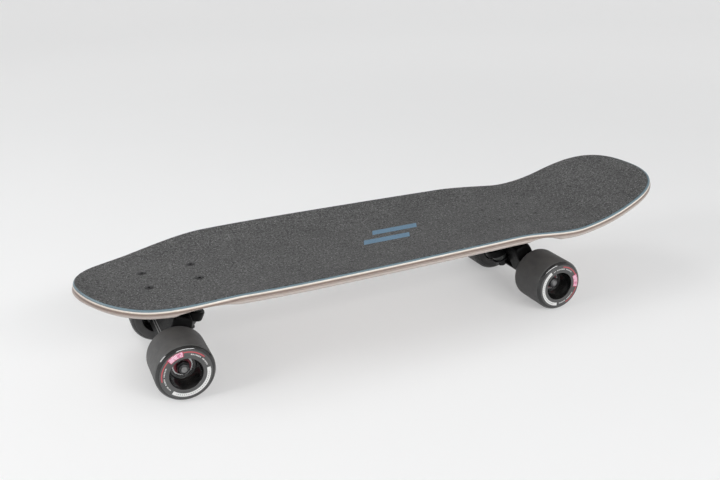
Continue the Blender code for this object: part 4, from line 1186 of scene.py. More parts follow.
def truck_frame(end):
    """A truck's frame: at the axle's height, with +X towards its end of the board."""
    turn = math.pi if end == "front" else 0.0
    return shifted(WAY[end] * WHEELBASE / 2 - DECK_MIDDLE, 0, AXLE_HEIGHT) @ rotated(turn, "Z")


def steering_frame(end):
    """The steering frame at the hanger's ring: X along the steering axis, Z up the kingpin."""
    pivot_line = Vector((math.cos(STEER_ANGLE), 0, math.sin(STEER_ANGLE)))
    up_kingpin = Vector((-math.sin(STEER_ANGLE), 0, math.cos(STEER_ANGLE)))
    ring_centre = up_kingpin * AXLE_DROP - pivot_line * RING_TO_AXLE
    return truck_frame(end) @ shifted(*ring_centre) @ rotated(-STEER_ANGLE, "Y")


def axle_frame(end):
    """The axle's frame, level again at the middle of the axle."""
    return steering_frame(end) @ shifted(RING_TO_AXLE, 0, -AXLE_DROP) @ rotated(STEER_ANGLE, "Y")


def bolt_places():
    """The four mounting bolts' head faces in a truck's frame."""
    return [shifted(-PLATE_INBOARD + i * BOLT_SPACING_X / 2, j * BOLT_SPACING_Y / 2, GRIP_TOP - AXLE_HEIGHT)
            for i in (-1, 1) for j in (-1, 1)]


def head_depth(radius):
    """How far below its widest circle a bolt's cone reaches a radius."""
    return (BOLT_HEAD_RADIUS - radius) / math.tan(BOLT_HEAD_ANGLE)


def bolt_hole_mesh():
    """What a mounting bolt takes out of the grip tape, the deck and the riser."""
    wide = BOLT_HEAD_RADIUS + GAP
    narrow = BOLT_RADIUS + GAP
    return turned([(0, BOLT_LENGTH / 2), (wide, BOLT_LENGTH / 2), (wide, -GAP),
                   (narrow, -GAP - head_depth(BOLT_RADIUS)), (narrow, -BOLT_LENGTH), (0, -BOLT_LENGTH)],
                  BOLT_STEPS)


def all_bolt_holes():
    """All eight bolt holes in one mesh."""
    places = [truck_frame(end) @ place for end in WAY for place in bolt_places()]
    return gathered([bolt_hole_mesh()], places)


def build_deck():
    """The pressed deck with its wells and holes, and the grip tape on it."""
    def sheet(name, layers, finish, stands_for):
        mesh = combined(layered_body(layers), "DIFFERENCE", [all_bolt_holes()], "MANIFOLD")
        if finish == MAPLE:
            mark_ply_depth(mesh)
        piece(name, in_finish(mesh, finish), Matrix.Identity(4), "board", [stands_for])

    layers = [sheet_layer(TOP_EASING, below_top=0.0)]
    for angle in np.linspace(0, math.pi / 2, EASING_ROWS + 1)[1:]:
        inset, drop = TOP_EASING * (1 - math.sin(angle)), TOP_EASING * (1 - math.cos(angle))
        layers.append(sheet_layer(inset, below_top=drop))
    easing = under_easing()
    for angle in np.linspace(0, math.pi / 2, UNDER_EASING_ROWS + 1):
        inset, rise = easing * (1 - math.cos(angle)), easing * (1 - math.sin(angle))
        layers.append(sheet_layer(inset, above_bottom=rise))
    sheet("pressed_deck", layers, MAPLE, "deck")
    top = GAP + GRIP_THICKNESS
    soft = GRIP_THICKNESS / 3
    stations = deck_stations()
    inset = GRIP_INSET + GRIP_RAGGED * np.random.default_rng(GRIP_SEED).uniform(-1.0, 1.0, len(stations))
    inset = inset - GRIP_NOSE_TRIM * smooth_step(1 - (stations + NOSE_REACH) / GRIP_NOSE_LENGTH)
    layers = [sheet_layer(inset + into, below_top=drop) for into, drop in (
        (soft, -top), (soft * GRIP_BREAK, -top + soft * GRIP_BREAK), (0.0, -top + soft), (0.0, -GRIP_HOVER))]
    sheet("grip_sheet", layers, GRIT, "grip_tape")


# Fasteners

def chamfered_hexagon(corner, bottom, top):
    """A hexagon body with its corners turned down at both ends."""
    flat = corner * math.cos(math.pi / 6)
    wide = corner * 1.1
    drop = (corner - flat) * 0.55
    keep = turned([(0, top + 1e-5), (flat * 0.97, top + 1e-5), (wide, top - drop * 1.6),
                   (wide, bottom + drop * 0.9), (flat, bottom), (0, bottom - 1e-5)])
    return combined(prism(6, corner, bottom, top), "INTERSECT", [keep])


def lock_nut_mesh(corner, hex_height, collar_radius, collar_height, bore):
    """A lock nut, its seat at z = 0: hexagon, domed collar and the nylon ring that grips the thread."""
    top = hex_height + collar_height
    collar = turned(eased(rod(collar_radius, hex_height / 2, top), collar_height * 0.6, 4))
    body = combined(chamfered_hexagon(corner, 0, hex_height), "UNION", [collar])
    ring_room = bore + (collar_radius - bore) * 0.62
    sink = collar_height * 0.14
    hole = turned(eased([(0, 2 * top), (ring_room, 2 * top), (ring_room, hex_height), (bore, hex_height),
                         (bore, -top), (0, -top)], 1e-5, 1))
    body = in_finish(combined(body, "DIFFERENCE", [hole]), BLACK_STEEL)
    nylon = turned(ring_section(bore, ring_room - 2e-5, hex_height + 2e-5, top - sink, collar_height * 0.2))
    return gathered([body, in_finish(nylon, NYLON)])


def deck_bolt_mesh(finish):
    """A countersunk socket bolt, its head's face at z = 0, with its thread."""
    thread_start = -BOLT_LENGTH / 2
    shank = thread_points(BOLT_RADIUS, BOLT_THREAD, thread_start, -BOLT_LENGTH + BOLT_THREAD)
    body = turned([(0, 0), (BOLT_HEAD_RADIUS - BOLT_RIM_WIDTH, 0), (BOLT_HEAD_RADIUS, -BOLT_RIM_DROP),
                   (BOLT_HEAD_RADIUS, -GAP), (BOLT_RADIUS, -GAP - head_depth(BOLT_RADIUS))]
                  + shank + [(0, -BOLT_LENGTH)], BOLT_STEPS)
    socket = prism(6, BOLT_SOCKET_RADIUS, -BOLT_SOCKET_DEPTH, BOLT_SOCKET_DEPTH)
    return in_finish(combined(body, "DIFFERENCE", [socket]), finish)


def plate_outline(bottom, top):
    """The rounded outline that the baseplate and the riser share, in a truck's frame."""
    middle = -PLATE_INBOARD - PLATE_SHIFT
    return box((middle - PLATE_LENGTH / 2, -PLATE_WIDTH / 2, bottom),
               (middle + PLATE_LENGTH / 2, PLATE_WIDTH / 2, top), PLATE_CORNER)


def riser_mesh():
    """The rubber pad between the baseplate and the deck."""
    bottom = TRUCK_HEIGHT + GAP
    holes = gathered([bolt_hole_mesh()], bolt_places())
    pad = plate_outline(bottom, bottom + RISER_THICKNESS)
    return in_finish(combined(pad, "DIFFERENCE", [holes]), RISER_RUBBER)


# Trucks

def baseplate_mesh():
    """The baseplate's casting in a truck's frame, with machined bores."""
    top = TRUCK_HEIGHT
    underside = top - PLATE_THICKNESS
    steer = truck_frame("rear").inverted() @ steering_frame("rear")
    head_end = KINGPIN_SEAT + KINGPIN_HEAD_HEIGHT
    above = head_end + 2 * KINGPIN_HEAD_HEIGHT
    flare = KINGPIN_BOSS_RADIUS + KINGPIN_BOSS_FLARE
    boss = moved(turned([(0, above), (flare, above), (flare, head_end), (KINGPIN_BOSS_RADIUS, BOSS_SEAT),
                         (0, BOSS_SEAT)]), steer)
    mouth = RING_TO_PIVOT - PIVOT_CUP_MOUTH
    socket = moved(turned(eased(rod(PIVOT_BOSS_RADIUS, mouth, mouth + PIVOT_BOSS_LENGTH),
                                PIVOT_BOSS_CHAMFER)), steer @ ALONG_X)
    middle = -PLATE_INBOARD - PLATE_SHIFT
    spine_half = PLATE_LENGTH / 2 - PLATE_CORNER
    spine = box((middle - spine_half, -SPINE_WIDTH / 2, underside - SPINE_DEPTH),
                (middle + spine_half, SPINE_WIDTH / 2, underside + PLATE_THICKNESS / 2))
    far = PLATE_LENGTH
    joined = combined(plate_outline(underside, top + PLATE_TRIM), "UNION", [boss, socket, spine])
    washer_room = BOARD_BUSHING_RADIUS + CUP_WASHER_RIM + 2 * GAP
    room = moved(turned(rod(washer_room, 0, BOSS_SEAT)), steer)
    trim = box((-far, -far, top), (far, far, top + far))
    casting = cast(combined(joined, "DIFFERENCE", [trim, room]))
    recess = KINGPIN_HEAD_RADIUS + GAP
    bore = KINGPIN_RADIUS + GAP
    kingpin_bore = moved(turned([(0, 2 * above), (recess, 2 * above), (recess, KINGPIN_SEAT),
                                 (bore, KINGPIN_SEAT), (bore, 0), (0, 0)]), steer)
    cup_end = RING_TO_PIVOT + PIVOT_CUP_RADIUS + GAP
    cup_bore = moved(turned(rod(PIVOT_CUP_RADIUS + GAP / 2, mouth - PIVOT_BOSS_LENGTH, cup_end)),
                     steer @ ALONG_X)
    face = box((-far, -far, top - PLATE_FACING), (far, far, top + far))
    drill = turned(rod(BOLT_RADIUS + GAP, -TRUCK_HEIGHT, DRILL_PAST), BOLT_STEPS)
    drills = gathered([drill], bolt_places())
    tools = [face, drills, kingpin_bore, cup_bore]
    return in_finish(combined(casting, "DIFFERENCE", tools, "MANIFOLD"), POWDER_COAT)


def bent(wave, bend):
    """A sine or cosine, pushed outwards to flatten the sides of a section."""
    return math.copysign(abs(wave) ** bend, wave)


def hanger_loft():
    """A loft through the hanger's unlike sections, from one end to the other."""
    collar = HANGER_END_RADIUS + HANGER_COLLAR_STEP
    collar_place = HANGER_HALF_WIDTH - HANGER_COLLAR_LENGTH
    half = []
    for share in np.linspace(0.0, 1.0, WING_STEPS + 1):
        fade = float(smooth_step(share))
        fall = float(smooth_step((share - SHOULDER_SHARE) / (1 - SHOULDER_SHARE)))
        web = HANGER_TOP_RISE + (SHOULDER_RISE - HANGER_TOP_RISE) * float(smooth_step(share / SHOULDER_SHARE))
        top = web + (collar - AXLE_DROP - web) * fall
        bottom = -AXLE_DROP - HANGER_BELLY + (HANGER_BELLY - collar) * fade
        depth = HANGER_HALF_DEPTH + (collar - HANGER_HALF_DEPTH) * fall
        bend = SHOULDER_SQUARING + (1 - SHOULDER_SQUARING) * fall
        half.append((share * collar_place, (top + bottom) / 2, (top - bottom) / 2, depth, bend))
    for place in (HANGER_HALF_WIDTH - HANGER_COLLAR_LENGTH / 2, HANGER_HALF_WIDTH):
        half.append((place, -AXLE_DROP, HANGER_END_RADIUS, HANGER_END_RADIUS, 1.0))
    stations = [(-section[0], *section[1:]) for section in reversed(half[1:])] + half
    shape = bmesh.new()
    rings = []
    for y, middle, half_height, half_depth, bend in stations:
        ring = []
        for k in range(WING_POINTS):
            angle = 2 * math.pi * k / WING_POINTS
            across = half_depth * bent(math.cos(angle), bend)
            upward = half_height * bent(math.sin(angle), bend)
            ring.append(shape.verts.new((RING_TO_AXLE + across, y, middle + upward)))
        rings.append(ring)
    for near, far in zip(rings, rings[1:]):
        for k in range(WING_POINTS):
            after = (k + 1) % WING_POINTS
            shape.faces.new((near[k], near[after], far[after], far[k]))
    shape.faces.new(rings[0])
    shape.faces.new(rings[-1])
    bmesh.ops.recalc_face_normals(shape, faces=shape.faces)
    return mesh_from(shape, "hanger_loft")


def hanger_mesh():
    """The hanger's casting in the steering frame: axle housing, ring and pivot nose."""
    half = RING_HALF_THICKNESS
    lip = half + RING_SEAT_DEPTH
    far = 2 * HANGER_TOP_RISE
    ring = turned(eased(rod(RING_RADIUS, -lip, lip), RING_ROUNDING, 4))
    ball = arc(0, RING_TO_PIVOT, PIVOT_BALL_RADIUS, PIVOT_BALL_RADIUS, 90, -20, 16)
    ball[0] = (0, RING_TO_PIVOT + PIVOT_BALL_RADIUS)
    neck_end = RING_TO_PIVOT - PIVOT_CUP_MOUTH - 2 * GAP
    nose = moved(turned(ball + [(PIVOT_THROAT_RADIUS, neck_end),
                                (PIVOT_NECK_RADIUS, RING_TO_AXLE + HANGER_HALF_DEPTH),
                                (PIVOT_NECK_RADIUS, RING_TO_AXLE), (0, RING_TO_AXLE)]), ALONG_X)
    joined = combined(hanger_loft(), "UNION", [ring, nose])
    room = BOARD_BUSHING_RADIUS + BUSHING_ROOM
    nut_room = KINGPIN_NUT_RADIUS + NUT_ROOM
    board_room = turned(rod(room, lip, half + 1.5 * far))
    road_room = turned([(0, -lip), (room, -lip), (room, -NUT_SEAT - GAP), (nut_room, -NUT_SEAT - GAP),
                        (nut_room, -KINGPIN_END - NUT_ROOM), (0, -KINGPIN_END - NUT_ROOM)])
    casting = cast(combined(joined, "DIFFERENCE", [board_room, road_room]))
    board_seat = turned(rod(BOARD_BUSHING_RADIUS + 2 * GAP, half, half + far))
    road_seat = turned(rod(ROAD_BUSHING_RADIUS + 2 * GAP, -half - far, -half))
    hole = turned(rod(RING_HOLE_RADIUS, -4 * half, 4 * half))
    axle_bore = moved(turned(rod(AXLE_RADIUS + GAP / 2, -2 * HANGER_HALF_WIDTH, 2 * HANGER_HALF_WIDTH)),
                      shifted(RING_TO_AXLE, 0, -AXLE_DROP) @ ALONG_Y)
    tools = [board_seat, road_seat, hole, axle_bore]
    casting = combined(casting, "DIFFERENCE", tools, "MANIFOLD")
    rib = turned(rod(RIB_RADIUS, -RIB_HALF_LENGTH, RIB_HALF_LENGTH, RIB_RADIUS * RIB_END_SHARE), RIB_STEPS)
    face = RING_TO_AXLE + HANGER_HALF_DEPTH - RIB_RADIUS / 2
    ribs = gathered([rib], [shifted(face, 0, height) @ ALONG_Y for height in RIB_HEIGHTS])
    return gathered([in_finish(casting, POWDER_COAT), in_finish(ribs, PLATED_STEEL)])


def bushing_mesh(seat, height, base_radius, tip_radius, upward):
    """A urethane bushing: a soft barrel with a nub that centres it in the hanger's ring."""
    inner = KINGPIN_RADIUS + GAP
    nub = RING_HOLE_RADIUS - GAP
    side = [(nub, BUSHING_NUB)]
    for k in range(BUSHING_STEPS + 1):
        share = k / BUSHING_STEPS
        swell = BUSHING_BELLY * math.sin(math.pi * share)
        radius = base_radius + (tip_radius - base_radius) * share - BUSHING_BELLY + swell
        side.append((radius, BUSHING_NUB + height * share))
    points = eased_ring([(inner, 0), (nub, 0)] + side + [(inner, BUSHING_NUB + height)],
                        BUSHING_EASING)
    start = seat - BUSHING_NUB
    profile = [(r, (start + h) if upward else (-start - h)) for r, h in points]
    return in_finish(turned(profile), BUSHING_URETHANE)


def cup_washer_mesh(seat, flat_radius, upward):
    """A dished washer whose rim turns towards its bushing."""
    inner = KINGPIN_RADIUS + GAP
    thick = CUP_WASHER_THICKNESS
    flat = flat_radius + GAP
    rim = flat + CUP_WASHER_RIM
    side = eased_ring([(inner, thick), (flat, thick), (rim, thick / 3), (rim, -CUP_WASHER_RIM / 2),
                       (flat + CUP_WASHER_DISH, -CUP_WASHER_RIM / 2), (flat, 0), (inner, 0)],
                      CUP_WASHER_EASING)
    profile = [(r, (seat + h) if upward else (-seat - h)) for r, h in side]
    return in_finish(turned(profile), BLACK_STEEL)


def kingpin_bolt_mesh():
    """The kingpin: a hexagon head in the baseplate and a shank threaded at its end."""
    head = chamfered_hexagon(KINGPIN_HEAD_RADIUS, KINGPIN_SEAT, KINGPIN_SEAT + KINGPIN_HEAD_HEIGHT)
    thread = thread_points(KINGPIN_RADIUS, KINGPIN_THREAD, -ROAD_BUSHING_END, -KINGPIN_END + KINGPIN_THREAD)
    shank = turned([(0, KINGPIN_SEAT + KINGPIN_HEAD_HEIGHT / 2),
                    (KINGPIN_RADIUS, KINGPIN_SEAT + KINGPIN_HEAD_HEIGHT / 2)] + thread
                   + [(KINGPIN_RADIUS * KINGPIN_TIP_SHARE, -KINGPIN_END), (0, -KINGPIN_END)])
    return in_finish(combined(head, "UNION", [shank]), BLACK_STEEL)


def pivot_bush_mesh():
    """The plastic cup that the hanger's pivot ball turns in, along +X."""
    start = RING_TO_PIVOT - PIVOT_CUP_MOUTH
    end = RING_TO_PIVOT + PIVOT_CUP_RADIUS
    hollow = arc(0, RING_TO_PIVOT, PIVOT_CUP_BORE, PIVOT_CUP_BORE, 0, 90, 10)
    hollow[-1] = (0, RING_TO_PIVOT + PIVOT_CUP_BORE)
    profile = eased([(0, end), (PIVOT_CUP_RADIUS, end), (PIVOT_CUP_RADIUS, start), (PIVOT_CUP_BORE, start)],
                    PIVOT_CUP_EASING) + hollow
    return in_finish(moved(turned(profile), ALONG_X), CUP_PLASTIC)


def axle_mesh():
    """The axle, along its own Z, threaded at both ends."""
    end = AXLE_HALF_LENGTH
    upper = thread_points(AXLE_RADIUS, AXLE_THREAD, end - AXLE_THREAD, end - AXLE_THREAD_LENGTH)
    lower = [(r, -h) for r, h in reversed(upper)]
    tip = AXLE_RADIUS * AXLE_TIP_SHARE
    profile = [(0, end), (tip, end)] + upper + lower + [(tip, -end), (0, -end)]
    return in_finish(turned(profile), PLATED_STEEL)


def build_truck(end):
    """One truck's pieces, in place under the deck."""
    frame_place, steer, axle = truck_frame(end), steering_frame(end), axle_frame(end)
    hanger_body = end + "_hanger_body"
    plate, hanger, bolts, bolt_nut, kingpin_nut, axle_nut, riser = TRUCK_MESHES
    rows = [("baseplate_casting", plate, frame_place, "board", "baseplate"),
            ("hanger_casting", hanger, steer, hanger_body, "hanger"),
            ("riser_sheet", riser, frame_place, "board", "riser_pad")]
    nut_drop = shifted(z=PLATE_BOTTOM - GAP - GRIP_TOP) @ UPSIDE_DOWN
    for number, place in enumerate(bolt_places(), 1):
        spot = frame_place @ place
        rows += [(f"deck_bolt_{number}", bolts[end], spot, "board", f"mounting_bolt_{number}"),
                 (f"deck_lock_nut_{number}", bolt_nut, spot @ nut_drop, "board", None)]
    nut_place = steer @ shifted(z=-NUT_SEAT) @ UPSIDE_DOWN
    rows += [("pivot_bush", pivot_bush_mesh(), steer, "board", "pivot_cup"),
             ("kingpin_bolt", kingpin_bolt_mesh(), steer, "board", "kingpin"),
             ("kingpin_lock_nut", kingpin_nut, nut_place, "board", "kingpin_nut")]
    seat = RING_HALF_THICKNESS + GAP
    sides = (("board", 1, BOARD_BUSHING_END, BOARD_BUSHING_HEIGHT, BOARD_BUSHING_RADIUS,
              BOARD_BUSHING_RADIUS),
             ("road", -1, ROAD_BUSHING_END, ROAD_BUSHING_HEIGHT, ROAD_BUSHING_RADIUS,
              ROAD_BUSHING_TIP_RADIUS))
    for side, way, bushing_end, _, _, tip in sides:
        washer = cup_washer_mesh(bushing_end + GAP, tip, way > 0)
        rows.append((side + "_side_washer", washer, steer, "board", side + "_cup_washer"))
    for side, way, _, height, base, tip in sides:
        bushing = bushing_mesh(seat, height, base, tip, way > 0)
        rows.append((side + "_side_bushing", bushing, steer, None, side + "_bushing"))
    rows.append(("threaded_axle", axle_mesh(), axle @ ALONG_Y, hanger_body, "axle"))
    for number, way in ((1, -1), (2, 1)):
        outward = axle @ rotated(-way * math.pi / 2, "X")
        rows.append((f"axle_lock_nut_{number}", axle_nut, outward @ shifted(z=AXLE_NUT_SEAT), hanger_body,
                     f"axle_nut_{number}"))
        for name, start in (("inner", HANGER_HALF_WIDTH + GAP),
                            ("outer", AXLE_NUT_SEAT - SPEED_WASHER_ROOM - GAP)):
            washer = turned(ring_section(AXLE_RADIUS + GAP / 2, SPEED_WASHER_RADIUS, 0, SPEED_WASHER_ROOM,
                                         SPEED_WASHER_EASING))
            rows.append((f"{name}_speed_washer_{number}", in_finish(washer, BRIGHT_STEEL),
                         outward @ shifted(z=start), hanger_body, None))
    made = {}
    for name, mesh, place, body, stands_for in rows:
        made[name] = piece(f"{end}_{name}", mesh, place, body, [f"{end}_{stands_for}"] if stands_for else ())
    for side, way, _, height, _, _ in sides:
        start, finish = (steer @ Vector((0, 0, way * reach)) for reach in (seat + height, seat))
        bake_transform(made[side + "_side_bushing"])


# Wheels and bearings

def wheel_mesh():
    """The poured wheel round its own Z axis, its printed face on top."""
    top = WHEEL_WIDTH / 2
    lip = WHEEL_LIP
    inner_face = INNER_BEARING - WHEEL_CENTRE
    outer_face = OUTER_BEARING + BEARING_WIDTH - WHEEL_CENTRE
    seat = BEARING_RADIUS + GAP / 3
    edge = HUB_MOUTH_EDGE
    outer = arc(WHEEL_RADIUS - lip, top - lip, lip, lip, 90, 0, LIP_STEPS)
    inner = arc(WHEEL_RADIUS - lip, lip - top, lip, lip, 0, -90, LIP_STEPS)
    mouth = arc(HUB_MOUTH_RADIUS + edge, top - edge, edge, edge, 180, 90, MOUTH_STEPS)
    seats = [(HUB_WAIST_RADIUS, inner_face - BEARING_SINK), (seat, inner_face - BEARING_SINK),
             (seat, SPACER_START - WHEEL_CENTRE), (HUB_WEB_RADIUS, SPACER_START - WHEEL_CENTRE),
             (HUB_WEB_RADIUS, OUTER_BEARING - GAP - WHEEL_CENTRE), (seat, OUTER_BEARING - GAP - WHEEL_CENTRE),
             (seat, outer_face + BEARING_SINK), (HUB_WAIST_RADIUS, outer_face + BEARING_SINK)]
    inner_mouth = [(HUB_INNER_MOUTH_RADIUS + edge, -top), (HUB_INNER_MOUTH_RADIUS, -top + edge)]
    bore = eased(inner_mouth + seats + [mouth[0]], HUB_EASING)
    return in_finish(turned(bore + mouth + outer + inner, 2 * TURN_STEPS), URETHANE)


def ball_ring(radius):
    """Balls of a radius, evenly round a bearing's ball circle."""
    ball = bmesh.new()
    bmesh.ops.create_uvsphere(ball, u_segments=BALL_STEPS, v_segments=BALL_STEPS, radius=radius)
    return gathered([mesh_from(ball, "ball")], [
        rotated(2 * math.pi * k / BALL_COUNT, "Z") @ shifted(BALL_CIRCLE_RADIUS) for k in range(BALL_COUNT)])


def bearing_meshes():
    """One bearing's pieces round Z, its middle at 0: races, shields, balls and cage."""
    half = BEARING_WIDTH / 2
    bore = AXLE_RADIUS + GAP / 2
    groove_outer = BALL_CIRCLE_RADIUS + BALL_RADIUS + GROOVE_ROOM
    groove_inner = BALL_CIRCLE_RADIUS - BALL_RADIUS - GROOVE_ROOM
    narrow = BALL_RADIUS * GROOVE_SHARE
    outer_groove = [(groove_outer - (groove_outer - OUTER_SHOULDER_RADIUS) * s * s, narrow * s)
                    for s in np.linspace(-1, 1, GROOVE_STEPS)]
    outer = turned(eased_ring(
        [(BEARING_RADIUS, half), (BEARING_RADIUS, -half), (OUTER_SHOULDER_RADIUS, -half)]
        + outer_groove + [(OUTER_SHOULDER_RADIUS, half)], RACE_EASING))
    inner_groove = [(groove_inner + (INNER_SHOULDER_RADIUS - groove_inner) * s * s, narrow * s)
                    for s in np.linspace(1, -1, GROOVE_STEPS)]
    inner = turned(eased_ring([(INNER_SHOULDER_RADIUS, half)] + inner_groove
                              + [(INNER_SHOULDER_RADIUS, -half), (bore, -half), (bore, half)],
                              RACE_EASING))
    top = half - SHIELD_SINK
    bottom = top - SHIELD_THICKNESS
    near = INNER_SHOULDER_RADIUS + SHIELD_INNER_ROOM
    far = OUTER_SHOULDER_RADIUS - SHIELD_OUTER_ROOM
    shield = turned(eased_ring([
        (far, top), (far, bottom), (near, bottom), (near, top - SHIELD_LIP_DROP),
        (near + SHIELD_LIP_WIDTH, top - SHIELD_LIP_DROP), (near + SHIELD_LIP_END, top)], SHIELD_EASING))
    crown = turned(ring_section(BALL_CIRCLE_RADIUS - CAGE_HALF_WALL, BALL_CIRCLE_RADIUS + CAGE_HALF_WALL,
                                -BALL_RADIUS - CAGE_FOOT, BALL_RADIUS * CAGE_HEIGHT_SHARE, CAGE_EASING))
    cage = combined(crown, "DIFFERENCE", [ball_ring(BALL_RADIUS * CAGE_POCKET_SHARE)])
    return {"outer_race": in_finish(outer, BRIGHT_STEEL), "inner_race": in_finish(inner, BRIGHT_STEEL),
            "shield": in_finish(shield, SHIELD_RUBBER),
            "black_shield": in_finish(shield.copy(), BLACK_SHIELD_RUBBER),
            "ball_set": in_finish(ball_ring(BALL_RADIUS), BRIGHT_STEEL), "cage": in_finish(cage, NYLON)}


def build_wheel(end, side, print_turn):
    """One wheel with its bearings and spacer, its print turned to an angle in degrees."""
    name = f"{end}_{side}"
    wheel_body = name + "_wheel_body"
    hanger_body = end + "_hanger_body"
    out = -1 if side == "left" else 1
    middle = shifted(WAY[end] * WHEELBASE / 2 - DECK_MIDDLE, out * WHEEL_CENTRE, AXLE_HEIGHT)
    place = middle @ rotated(-out * math.pi / 2, "X")
    blank, bearing, spacer = WHEEL_MESHES
    wheel = blank.copy()
    turns = wheel.attributes.new("print_turn", "FLOAT", "POINT")
    turns.data.foreach_set("value", [print_turn] * len(wheel.vertices))
    piece(name + "_poured_wheel", wheel, place, wheel_body, [name + "_wheel"])
    piece(name + "_core_spacer", spacer, place @ shifted(z=SPACER_START - WHEEL_CENTRE), hanger_body,
          [name + "_bearing_spacer"])
    for where, start, facing in (("outboard", OUTER_BEARING, Matrix.Identity(4)),
                                 ("inboard", INNER_BEARING, UPSIDE_DOWN)):
        spot = place @ shifted(z=start + BEARING_WIDTH / 2 - WHEEL_CENTRE) @ facing
        for part, body, nodes in (
                ("outer_race", wheel_body, [f"{name}_{where}_bearing_outer_ring"]),
                ("inner_race", hanger_body, [f"{name}_{where}_bearing_inner_ring"]),
                ("shield", wheel_body, []), ("ball_set", wheel_body, []), ("cage", wheel_body, [])):
            mesh = "black_shield" if (part, where) == ("shield", "inboard") else part
            piece(f"{name}_{where}_{part}", bearing[mesh], spot, body, nodes)


build_deck()
TRUCK_MESHES = (
    baseplate_mesh(),
    hanger_mesh(),
    {"front": deck_bolt_mesh(BLACK_STEEL), "rear": deck_bolt_mesh(SCUFFED_STEEL)},
    lock_nut_mesh(LOCK_NUT_RADIUS, LOCK_NUT_HEX_HEIGHT, LOCK_NUT_COLLAR_RADIUS, LOCK_NUT_COLLAR_HEIGHT,
                  BOLT_RADIUS),
    lock_nut_mesh(KINGPIN_NUT_RADIUS, KINGPIN_NUT_HEX_HEIGHT, KINGPIN_NUT_COLLAR_RADIUS,
                  KINGPIN_NUT_COLLAR_HEIGHT, KINGPIN_RADIUS),
    lock_nut_mesh(AXLE_NUT_RADIUS, AXLE_NUT_HEX_HEIGHT, AXLE_NUT_COLLAR_RADIUS, AXLE_NUT_COLLAR_HEIGHT,
                  AXLE_RADIUS),
    riser_mesh(),
)
WHEEL_MESHES = (
    wheel_mesh(),
    bearing_meshes(),
    in_finish(turned(ring_section(AXLE_RADIUS + GAP / 2, SPACER_RADIUS, 0, SPACER_LENGTH, RACE_EASING)),
              BRIGHT_STEEL),
)
for truck_end in ("front", "rear"):
    build_truck(truck_end)
for wheel_end, wheel_side, block_angle in (("front", "left", 112.0), ("rear", "left", 8.0),
                                           ("front", "right", 40.0), ("rear", "right", 200.0)):
    build_wheel(wheel_end, wheel_side, block_angle)


# The stage, the light and the view

FLOOR_SHADE = 0.92
FLOOR_MOTTLE = 0.99
NEAR_GLOW = 0.38
FAR_GLOW = 0.62
GLOW_START = 0.40
GLOW_END = 2.2
BACKDROP_SHADE = 0.93
FLOOR_RADIUS = 3.0
BACKDROP_BEND = 1.6
BACKDROP_HEIGHT = 2.4
BEND_STEPS = 16


def build_stage():
    """A round pale floor that curves up into a backdrop all round, seen through from below."""
    bend = BACKDROP_BEND
    profile = [(0.0, 0.0), (FLOOR_RADIUS / 2, 0.0)] + arc(FLOOR_RADIUS, bend, bend, bend, -90, 0, BEND_STEPS)
    mesh = turned(profile + [(FLOOR_RADIUS + bend, BACKDROP_HEIGHT)])
    if mesh.polygons[0].normal.z < 0:
        mesh.flip_normals()
    mesh.shade_smooth()
    made, tree, sockets = new_finish("pale_paper", 0.9)
    base = clouded(tree, grey(FLOOR_SHADE * FLOOR_MOTTLE), grey(FLOOR_SHADE), 3.0)
    feed(sockets, {"Base Color": base, "Specular IOR Level": 0.1})
    rays = signals(tree, "LightPath")
    seen = rays["Is Camera Ray"] + rays["Is Glossy Ray"] + rays["Is Transmission Ray"]
    away = signal(tree, "VectorMath", {0: on_object(tree)}, "Value", operation="LENGTH")
    share = maths("MINIMUM", seen, 1.0) * spread(away, GLOW_START, GLOW_END, NEAR_GLOW, FAR_GLOW, soft=True)
    glow = signal(tree, "Emission", {"Color": grey(BACKDROP_SHADE), "Strength": 1.0})
    paper = Signal(tree.nodes["Principled BSDF"].outputs[0])
    lit = signal(tree, "MixShader", {0: share, 1: paper, 2: glow})
    below = signal(tree, "NewGeometry", which="Backfacing")
    see_through = signal(tree, "MixShader", {0: below, 1: lit, 2: signal(tree, "BsdfTransparent")})
    feed(tree.nodes["Material Output"].inputs, {"Surface": see_through})
    added("studio_floor", in_finish(mesh, made))


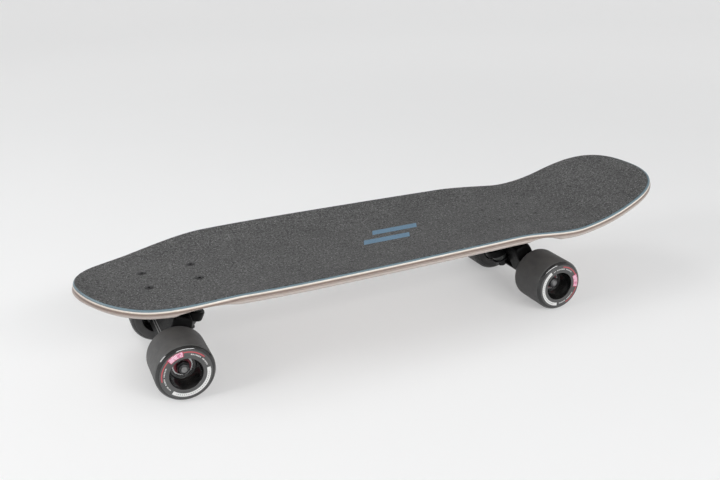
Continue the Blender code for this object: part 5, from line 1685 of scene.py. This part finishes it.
def area_light(name, place, target, size, power):
    """A soft oblong lamp that points at a target."""
    lamp = bpy.data.lights.new(name, "AREA")
    lamp.shape = "RECTANGLE"
    lamp.size, lamp.size_y = size
    lamp.energy = power
    made = added(name, lamp)
    made.location = place
    made.rotation_euler = (Vector(target) - Vector(place)).to_track_quat("-Z", "Y").to_euler()


CEILING_LIGHT = 0.34
WALL_LIGHT = 0.50


def build_lights():
    """Three soft lamps, from overhead, the left and behind the camera, in a room with pale walls."""
    area_light("overhead_lamp", (-0.9, 0.8, 1.9), (0.0, 0.0, 0.0), (1.0, 1.0), 8.0)
    area_light("left_lamp", (-2.0, -0.05, 1.1), (0.0, 0.0, 0.05), (0.75, 0.75), 18.0)
    area_light("front_lamp", (0.33, -2.24, 1.4), (0.0, 0.0, 0.05), (1.9, 0.40), 35.0)
    world = bpy.data.worlds.new("room")
    world.use_nodes = True
    tree = world.node_tree
    up = split(signal(tree, "TexCoord", which="Generated"))["Z"]
    level = spread(up, 0.25, 0.75, WALL_LIGHT, CEILING_LIGHT, soft=True)
    feed(tree.nodes["Background"].inputs, {"Color": colour(0.98, 0.99, 1.0), "Strength": level})
    bpy.context.scene.world = world


# The camera as solved from the photograph: metres, radians and a lens in millimetres
CAMERA_PLACE = (-0.3939, -0.8288, 0.45815)
CAMERA_YAW = 0.4099
CAMERA_PITCH = 0.3784
CAMERA_ROLL = -0.0284
CAMERA_LENS = 40.95


def build_camera():
    """The camera at the photograph's angle."""
    forward = Vector((math.sin(CAMERA_YAW) * math.cos(CAMERA_PITCH),
                      math.cos(CAMERA_YAW) * math.cos(CAMERA_PITCH), -math.sin(CAMERA_PITCH)))
    level = Vector((math.cos(CAMERA_YAW), -math.sin(CAMERA_YAW), 0))
    upright = level.cross(forward)
    right = level * math.cos(CAMERA_ROLL) + upright * math.sin(CAMERA_ROLL)
    up = upright * math.cos(CAMERA_ROLL) - level * math.sin(CAMERA_ROLL)
    data = bpy.data.cameras.new("camera")
    data.lens = CAMERA_LENS
    made = added("camera", data)
    turn = Matrix((right, up, -forward)).transposed().to_4x4()
    made.matrix_world = shifted(*CAMERA_PLACE) @ turn
    bpy.context.scene.camera = made


build_stage()
build_lights()
build_camera()
bpy.context.scene.view_settings.view_transform = "Standard"
